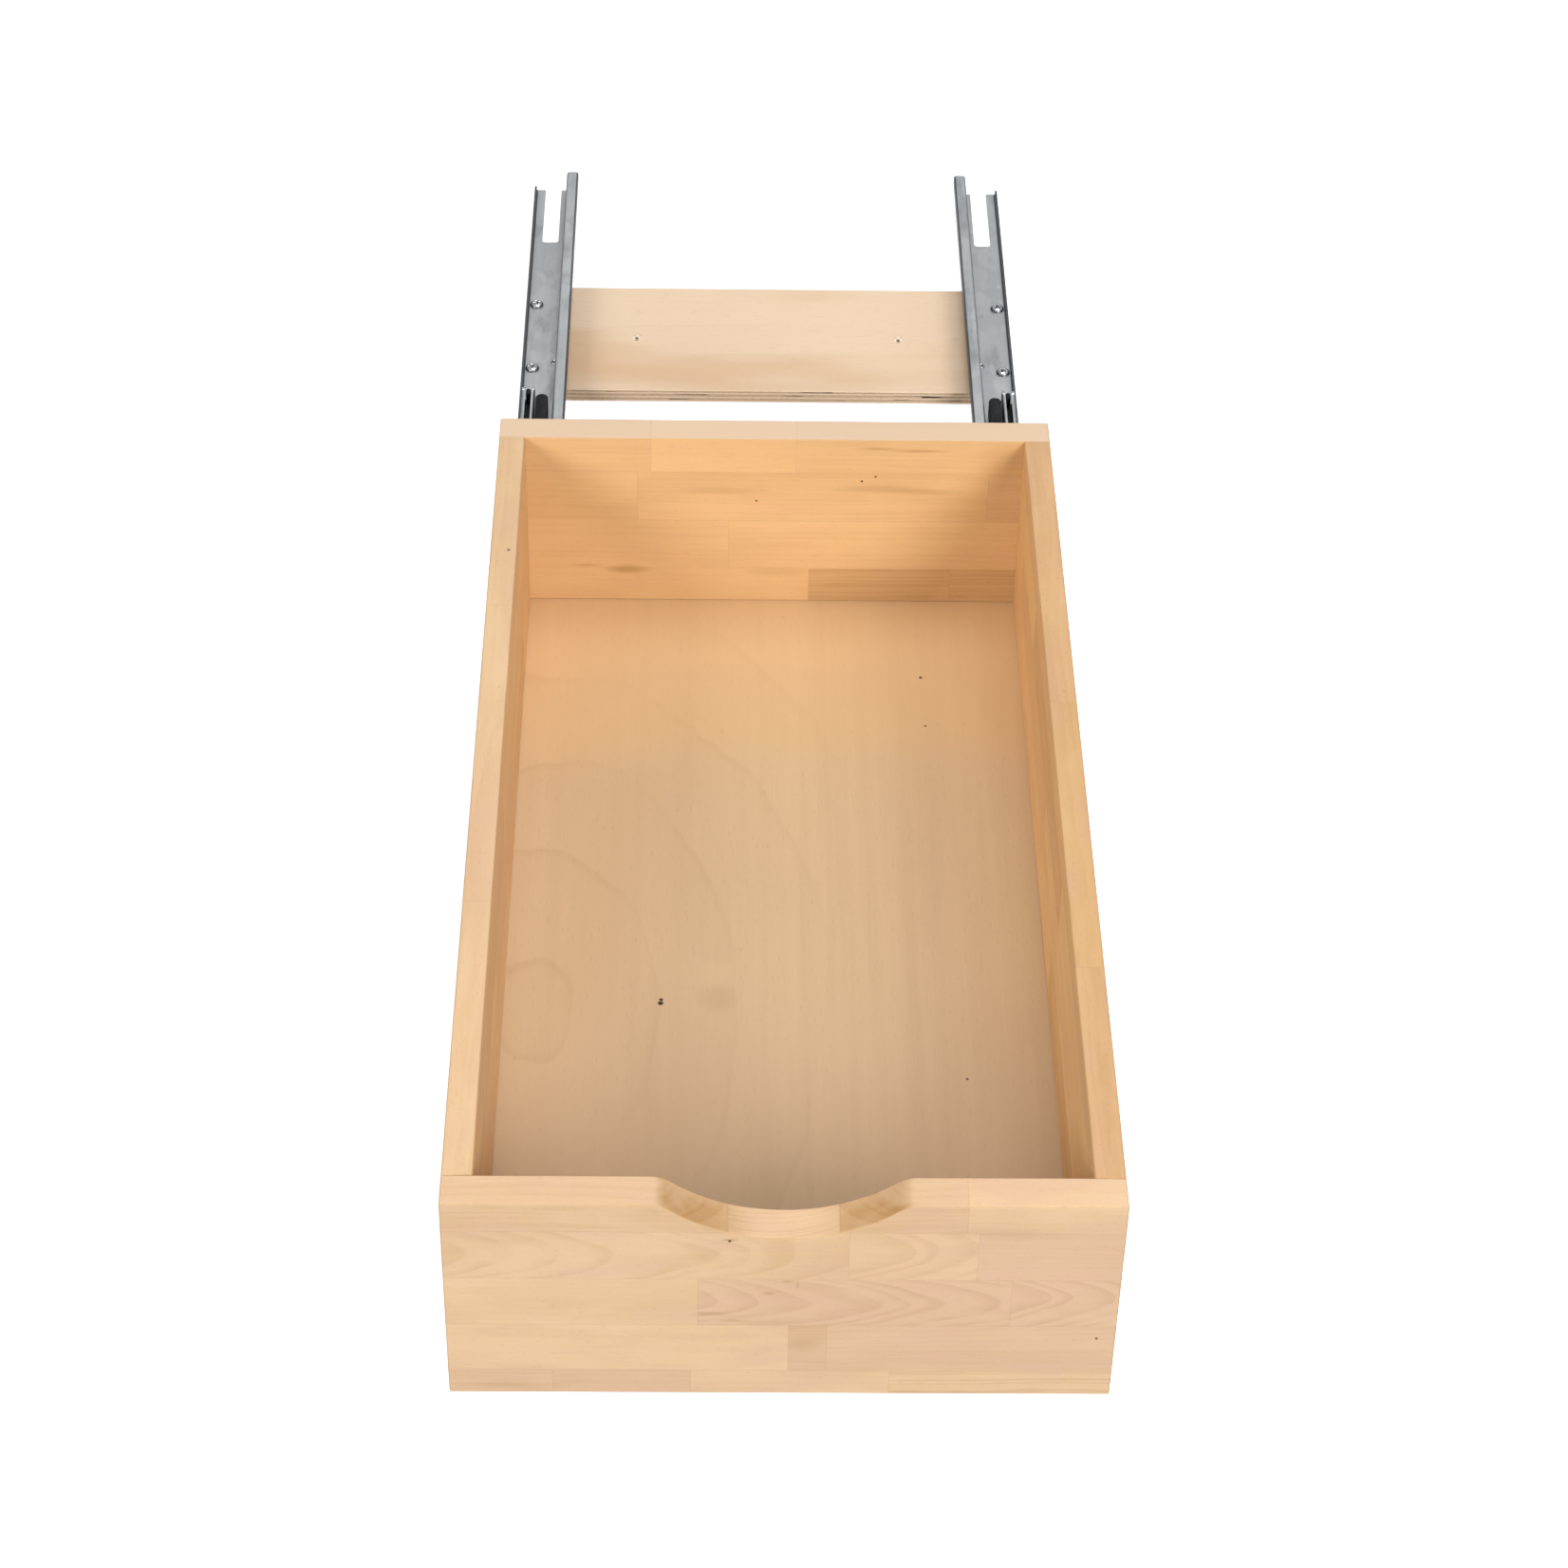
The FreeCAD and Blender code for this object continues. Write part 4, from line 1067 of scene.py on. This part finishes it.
def oneScrew(look, length, up):
    # Pan-head screw about the Z axis, seat at the origin, as radius and height against turn and path.
    # Head: height falls with the radius as a superellipse. Recess: four wings that are deepest in the
    # middle. Shank: the radius swells by a ridge whose crest climbs one pitch for each turn.
    turn = np.linspace(0, 2 * math.pi, screwShape["turnSteps"], endpoint=False)[:, None]
    t = np.linspace(0, 1, screwShape["headSteps"])[None, :]
    headRadius, shank = look["radius"], look["shank"]
    radius = headRadius * np.sin(t * math.pi / 2)
    dome = np.maximum(1 - (radius / headRadius) ** screwShape["domeAcross"], 0)
    dome = look["height"] * dome ** (1 / screwShape["domeUp"])
    x = radius * np.cos(turn)
    y = radius * np.sin(turn)

    def wing(a, b):
        long = smoothStep(look["cross"] - np.abs(a), 0.0, screwShape["wingEnd"])
        narrow = smoothStep(look["slot"] - np.abs(b), 0.0, screwShape["wingSide"])
        return long * narrow

    wings = np.maximum(wing(x, y), wing(y, x))
    cut = wings * look["sink"] * (1 - screwShape["recessFall"] * radius / look["cross"])
    headHeight = np.maximum(dome - cut, screwShape["thinnest"])
    full = np.ones_like(turn)
    # Painted shade in the recess and round the rim of the head.
    rim = smoothStep(radius / headRadius, screwShape["rimStart"], screwShape["rimEnd"]) * full
    headShade = np.maximum(np.clip(wings, 0, 1), screwShape["rimShade"] * rim)

    under = np.linspace(1, 0, screwShape["underSteps"])[None, 1:]
    underRadius = shank + (headRadius * screwShape["underside"] - shank) * under
    depth = np.linspace(0, 1, screwShape["shankSteps"])[None, 1:] * length
    taper = 1 - smoothStep(depth, length - screwShape["point"], length)
    ridge = 0.5 + 0.5 * np.cos(2 * math.pi * depth / look["pitch"] - turn)
    shankRadius = (shank - look["thread"] + look["thread"] * ridge ** 2) * taper

    radii = np.concatenate([radius * full, underRadius * full, shankRadius], axis=1)
    heights = np.concatenate([headHeight, 0 * underRadius * full, -depth * full], axis=1)
    paintedShade = np.concatenate([headShade, (screwShape["underShade"] + 0 * underRadius) * full,
                           screwShape["shankShade"] + 0 * shankRadius], axis=1)
    points = np.stack([radii * np.cos(turn), radii * np.sin(turn), heights * up], axis=-1)
    return points, paintedShade


def screwSet(name, node, body, look, seats, length, up, material, seed):
    # Copies of one screw, each turned to its own angle. The path is the grid's first parameter here.
    shape, paintedShade = oneScrew(look, length, up)
    rng = np.random.default_rng(seed)
    turns, path = paintedShade.shape
    quads = gridQuads(path, turns, closed=True)
    allPoints = []
    for x, y, z in seats:
        spin = rng.uniform(0, 1.5)
        turned = shape.transpose(1, 0, 2).reshape(-1, 3)
        allPoints.append(np.stack([
            x + turned[:, 0] * math.cos(spin) - turned[:, 1] * math.sin(spin),
            y + turned[:, 0] * math.sin(spin) + turned[:, 1] * math.cos(spin),
            z + turned[:, 2]], axis=-1))
    count = turns * path
    allQuads = np.concatenate([quads + count * k for k in range(len(seats))])
    allShade = np.tile(paintedShade.T.reshape(-1), len(seats))
    piece = makePiece(name, np.concatenate(allPoints), allQuads, material, pointValues={"paintedShade": allShade})
    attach(piece, body)
    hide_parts(node)


zinc = platedScrew("zincPlate")
r = boardScrew["radius"]
for end, seed in (("rear", 3), ("front", 4)):
    node = end + "_board_screws"
    low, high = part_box(node)
    seatZ = high.z - boardScrew["height"]
    seats = [(x, y, seatZ) for x in (low.x + r, high.x - r) for y in (low.y + r, high.y - r)]
    screwSet(end + "BoardScrews", node, "base", boardScrew, seats, seatZ - low.z, 1, zinc, seed)

low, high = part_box("drawer_rail_screws")
r = railScrew["radius"]
seatZ = low.z + railScrew["height"]
seats = [(x, low.y + r + y, seatZ) for x in (low.x + r, high.x - r) for y in railScrew["places"]]
screwSet("drawerRailScrews", "drawer_rail_screws", "drawer", railScrew, seats, high.z - seatZ, -1, zinc, 6)
print("screws: heads, recesses and threads")


# Pressed eyelets in the location holes

eyelet = {
    "neck": 0.00112, "collar": 0.00215, "rise": 0.00060, "bore": 0.00095, "sink": 0.0010, "below": 0.0011,
    "lift": 0.00005, "steps": 36,
    "inset": 0.1865,          # from each end of the rail
    "across": 0.12475,        # from the middle plane
    "web": 0.0012,            # thickness of the rail's sheet
}


def railEyelets(name, node, material):
    # A small pressed eyelet turned about Z. Its profile goes from the bottom of the bore up its wall,
    # over a rounded collar, down the neck and back to the axis below the sheet.
    low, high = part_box(node)
    sideX = 1 if low.x > 0 else -1
    top = boardHigh.z + eyelet["web"]
    bore, collar, neck, rise = eyelet["bore"], eyelet["collar"], eyelet["neck"], eyelet["rise"]
    sink, below, steps = eyelet["sink"], eyelet["below"], eyelet["steps"]
    arc = np.linspace(math.pi, 0, 9)
    ring = (collar - bore) / 2
    radius = np.concatenate([[0.0, bore * 0.8], bore + ring + ring * np.cos(arc), [neck, neck, 0.0]])
    collarHeight = eyelet["lift"] + rise * np.sin(arc)
    height = np.concatenate([[-sink, -sink * 0.9], collarHeight, [0.0, -below, -below]])
    # Painted shade in the bore and at the neck.
    paintedShade = np.concatenate([[1.0, 1.0, 0.9, 0.4], np.zeros(4), [0.5, 0.9, 1.0, 1.0, 1.0, 1.0]])
    turn = np.linspace(0, 2 * math.pi, steps, endpoint=False)[None, :]
    quads = gridQuads(len(radius), steps, closed=True)
    allPoints = []
    for y in (low.y + eyelet["inset"], high.y - eyelet["inset"]):
        x = sideX * eyelet["across"] + radius[:, None] * np.cos(turn)
        points = np.stack([x, y + radius[:, None] * np.sin(turn), top + height[:, None] + 0 * turn], axis=-1)
        allPoints.append(points.reshape(-1, 3))
    allQuads = np.concatenate([quads, quads + len(allPoints[0])])
    allShade = np.tile(np.repeat(paintedShade, steps), 2)
    piece = makePiece(name, np.concatenate(allPoints), allQuads, material, pointValues={"paintedShade": allShade})
    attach(piece, "base")


railEyelets("rightEyelets", "right_fixed_rail", zinc)
railEyelets("leftEyelets", "left_fixed_rail", zinc)
print("rails: pressed eyelets")


# Ends of the channel lips, and blocks of painted shade between them

lipTip = {"length": 0.0026, "width": 0.0021, "height": 0.0012, "rise": 0.0004, "squareness": 0.6,
          "channel": 0.0073, "steps": (13, 24)}
shadePlug = {"across": 0.00365, "width": 0.0031, "length": 0.0046, "height": 0.0083, "drop": 0.0002,
        "inset": 0.0003, "squareness": 0.5, "steps": (19, 32)}


def squaredBall(look, centre):
    # A rounded block: the turn and the rise of a ball, in which each cosine and sine is raised to a
    # power below one, which squares it off.
    rises, turns = look["steps"]
    turn = np.linspace(0, 2 * math.pi, turns, endpoint=False)[None, :]
    rise = np.linspace(-math.pi / 2, math.pi / 2, rises)[:, None]

    def power(value):
        return np.sign(value) * np.abs(value) ** look["squareness"]

    x = centre[0] + look["width"] / 2 * power(np.cos(rise)) * power(np.cos(turn))
    y = centre[1] + look["length"] / 2 * power(np.cos(rise)) * power(np.sin(turn))
    z = centre[2] + look["height"] / 2 * power(np.sin(rise)) * np.ones_like(turn)
    return np.stack([x, y, z], axis=-1).reshape(-1, 3), gridQuads(rises, turns, closed=True)


def lipTips(name, handed, body, material):
    # The rolled ends of the two lips of the channel, burnished bright.
    low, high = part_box(handed + "_middle_rail")
    sideX = 1 if handed == "right" else -1
    outer = high.x if sideX > 0 else -low.x
    y = high.y - lipTip["length"] / 2
    z = high.z - lipTip["height"] / 2 + lipTip["rise"]
    offsets = (lipTip["width"] / 2, lipTip["channel"] - lipTip["width"] / 2)
    tips = [squaredBall(lipTip, (sideX * (outer - offset), y, z)) for offset in offsets]
    points = np.concatenate([tips[0][0], tips[1][0]])
    quads = np.concatenate([tips[0][1], tips[1][1] + len(tips[0][0])])
    piece = makePiece(name, points, quads, material)
    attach(piece, body)


def channelShadePlugs(name, handed, body, material):
    # A near-black block that stands in the mouth of the channel as painted shade: a taller rounded block.
    low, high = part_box(handed + "_middle_rail")
    sideX = 1 if handed == "right" else -1
    outer = high.x if sideX > 0 else -low.x
    centre = (sideX * (outer - shadePlug["across"]), high.y - shadePlug["inset"] - shadePlug["length"] / 2,
              high.z - shadePlug["drop"] - shadePlug["height"] / 2)
    points, quads = squaredBall(shadePlug, centre)
    piece = makePiece(name, points, quads, material)
    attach(piece, body)


burnished = turnedSteel("burnishedZinc", (0.86, 0.87, 0.88, 1), 0.22)
lipTips("rightLipTips", "right", "right_middle", burnished)
lipTips("leftLipTips", "left", "left_middle", burnished)
shadePlugPlastic = mouldedPlastic("shadePlugPlastic", (0.010, 0.010, 0.011, 1), 0.45)
channelShadePlugs("rightShadePlug", "right", "right_middle", shadePlugPlastic)
channelShadePlugs("leftShadePlug", "left", "left_middle", shadePlugPlastic)
print("channels: burnished lip ends and plugs")


# Materials on the pieces that keep their worked-out shape

fixedLow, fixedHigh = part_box("right_fixed_rail")
# Bands of painted shade along the outer flange and the inner edge of the track.
flangeShadeBand = (fixedHigh.x - 0.0019, fixedHigh.x + 0.001)
trackShadeBand = (fixedLow.x - 0.001, fixedLow.x + 0.0010)
railSteel = galvanised("railSteel", steel, bends=(flangeShadeBand, trackShadeBand))
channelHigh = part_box("right_middle_rail")[1]
# The channel's inside below its mouth gets painted shade.
channelMouth = (channelHigh.x - 0.0062, channelHigh.x - 0.0011, channelHigh.z - 0.0011)
channelShadeSteel = galvanised("channelShadeSteel", steel, shadedChannel=channelMouth)
blackPlastic = mouldedPlastic("blackPlastic", (0.012, 0.012, 0.013, 1), 0.38)
rubber = mouldedPlastic("bufferRubber", (0.020, 0.020, 0.020, 1), 0.62)
rollerSteel = turnedSteel("rollerSteel", (0.66, 0.67, 0.68, 1), 0.20)
finishes = {
    "bottom_panel": bottomPly,
    "front_board": boardPly,
    "rear_board": boardPly,
    "front_dowels": dowelWood("dowelWood"),
}
finishes["rear_dowels"] = finishes["front_dowels"]
for hand in ("left_", "right_"):
    finishes[hand + "fixed_rail"] = railSteel
    finishes[hand + "middle_rail"] = channelShadeSteel
    finishes[hand + "drawer_rail"] = railSteel
    finishes[hand + "carriage"] = blackPlastic
    finishes[hand + "channel_cage"] = blackPlastic
    finishes[hand + "guide_shoe"] = blackPlastic
    finishes[hand + "carriage_rollers"] = rollerSteel
    finishes[hand + "channel_rollers"] = rollerSteel
    finishes[hand + "carriage_stop"] = rubber
    finishes[hand + "channel_stop"] = rubber
for node, material in finishes.items():
    nodes[node].material_slots[0].material = material
print("finishes:", len(finishes), "kept pieces")


# Floor, light and camera

stageLook = {"half": 30.0, "gap": 0.0004, "floor": (0.90, 0.90, 0.90, 1), "glow": 0.55, "roughness": 0.9,
             "specular": 0.1, "world": 0.33, "worldColour": (0.97, 1.0, 1.06, 1),
             "lampColour": (0.97, 1.0, 1.07), "aim": (0.0, -0.15, 0.08)}
lamps = (
    # place, size across, power
    ((1.35, -2.40, 1.65), 1.2, 59.0),
    ((-1.70, -1.85, 1.30), 1.1, 35.0),
    ((0.25, 0.30, 2.20), 1.3, 16.0),
)
cameraView = {"place": (-0.02999, -1.55827, 1.29869), "turn": (49.098, -0.9956, -0.5239), "lens": 88.53,
              "sensor": 36.0, "nearest": 0.05, "farthest": 50.0}


def makeFloor():
    # A flat sheet under the boards.
    half = stageLook["half"]
    z = cadBounds[0].z - stageLook["gap"]
    x = np.array([-half, half, half, -half])
    y = np.array([-half, -half, half, half])
    mesh = bpy.data.meshes.new("studioFloor")
    mesh.from_pydata(np.stack([x, y, np.full(4, z)], axis=-1).tolist(), [], [(0, 1, 2, 3)])
    material, tree, shader = newSurface("paleFloor")
    shader.inputs["Base Color"].default_value = stageLook["floor"]
    shader.inputs["Roughness"].default_value = stageLook["roughness"]
    shader.inputs["Specular IOR Level"].default_value = stageLook["specular"]
    shader.inputs["Emission Color"].default_value = (1, 1, 1, 1)
    shader.inputs["Emission Strength"].default_value = stageLook["glow"]
    mesh.materials.append(material)
    floor = bpy.data.objects.new("studioFloor", mesh)
    bpy.context.scene.collection.objects.link(floor)
    floor.visible_diffuse = False       # no bounce on the object from below


def makeLights():
    world = bpy.data.worlds.new("studio")
    world.use_nodes = True
    background = world.node_tree.nodes["Background"]
    background.inputs["Color"].default_value = stageLook["worldColour"]
    background.inputs["Strength"].default_value = stageLook["world"]
    bpy.context.scene.world = world
    for index, (place, size, power) in enumerate(lamps):
        data = bpy.data.lights.new("softLamp%d" % index, "AREA")
        data.shape = "DISK"
        data.size = size
        data.energy = power
        data.color = stageLook["lampColour"]
        lamp = bpy.data.objects.new("softLamp%d" % index, data)
        lamp.location = place
        aim = Vector(stageLook["aim"]) - lamp.location
        lamp.rotation_mode = "QUATERNION"
        lamp.rotation_quaternion = aim.to_track_quat("-Z", "Y")
        bpy.context.scene.collection.objects.link(lamp)


def makeCamera():
    data = bpy.data.cameras.new("camera")
    data.lens = cameraView["lens"]
    data.sensor_width = cameraView["sensor"]
    data.clip_start = cameraView["nearest"]
    data.clip_end = cameraView["farthest"]
    camera = bpy.data.objects.new("camera", data)
    camera.location = cameraView["place"]
    camera.rotation_euler = [math.radians(value) for value in cameraView["turn"]]
    bpy.context.scene.collection.objects.link(camera)
    bpy.context.scene.camera = camera


makeFloor()
makeLights()
makeCamera()
bpy.context.scene.view_settings.view_transform = "Standard"
print("studio: floor, lights and camera")
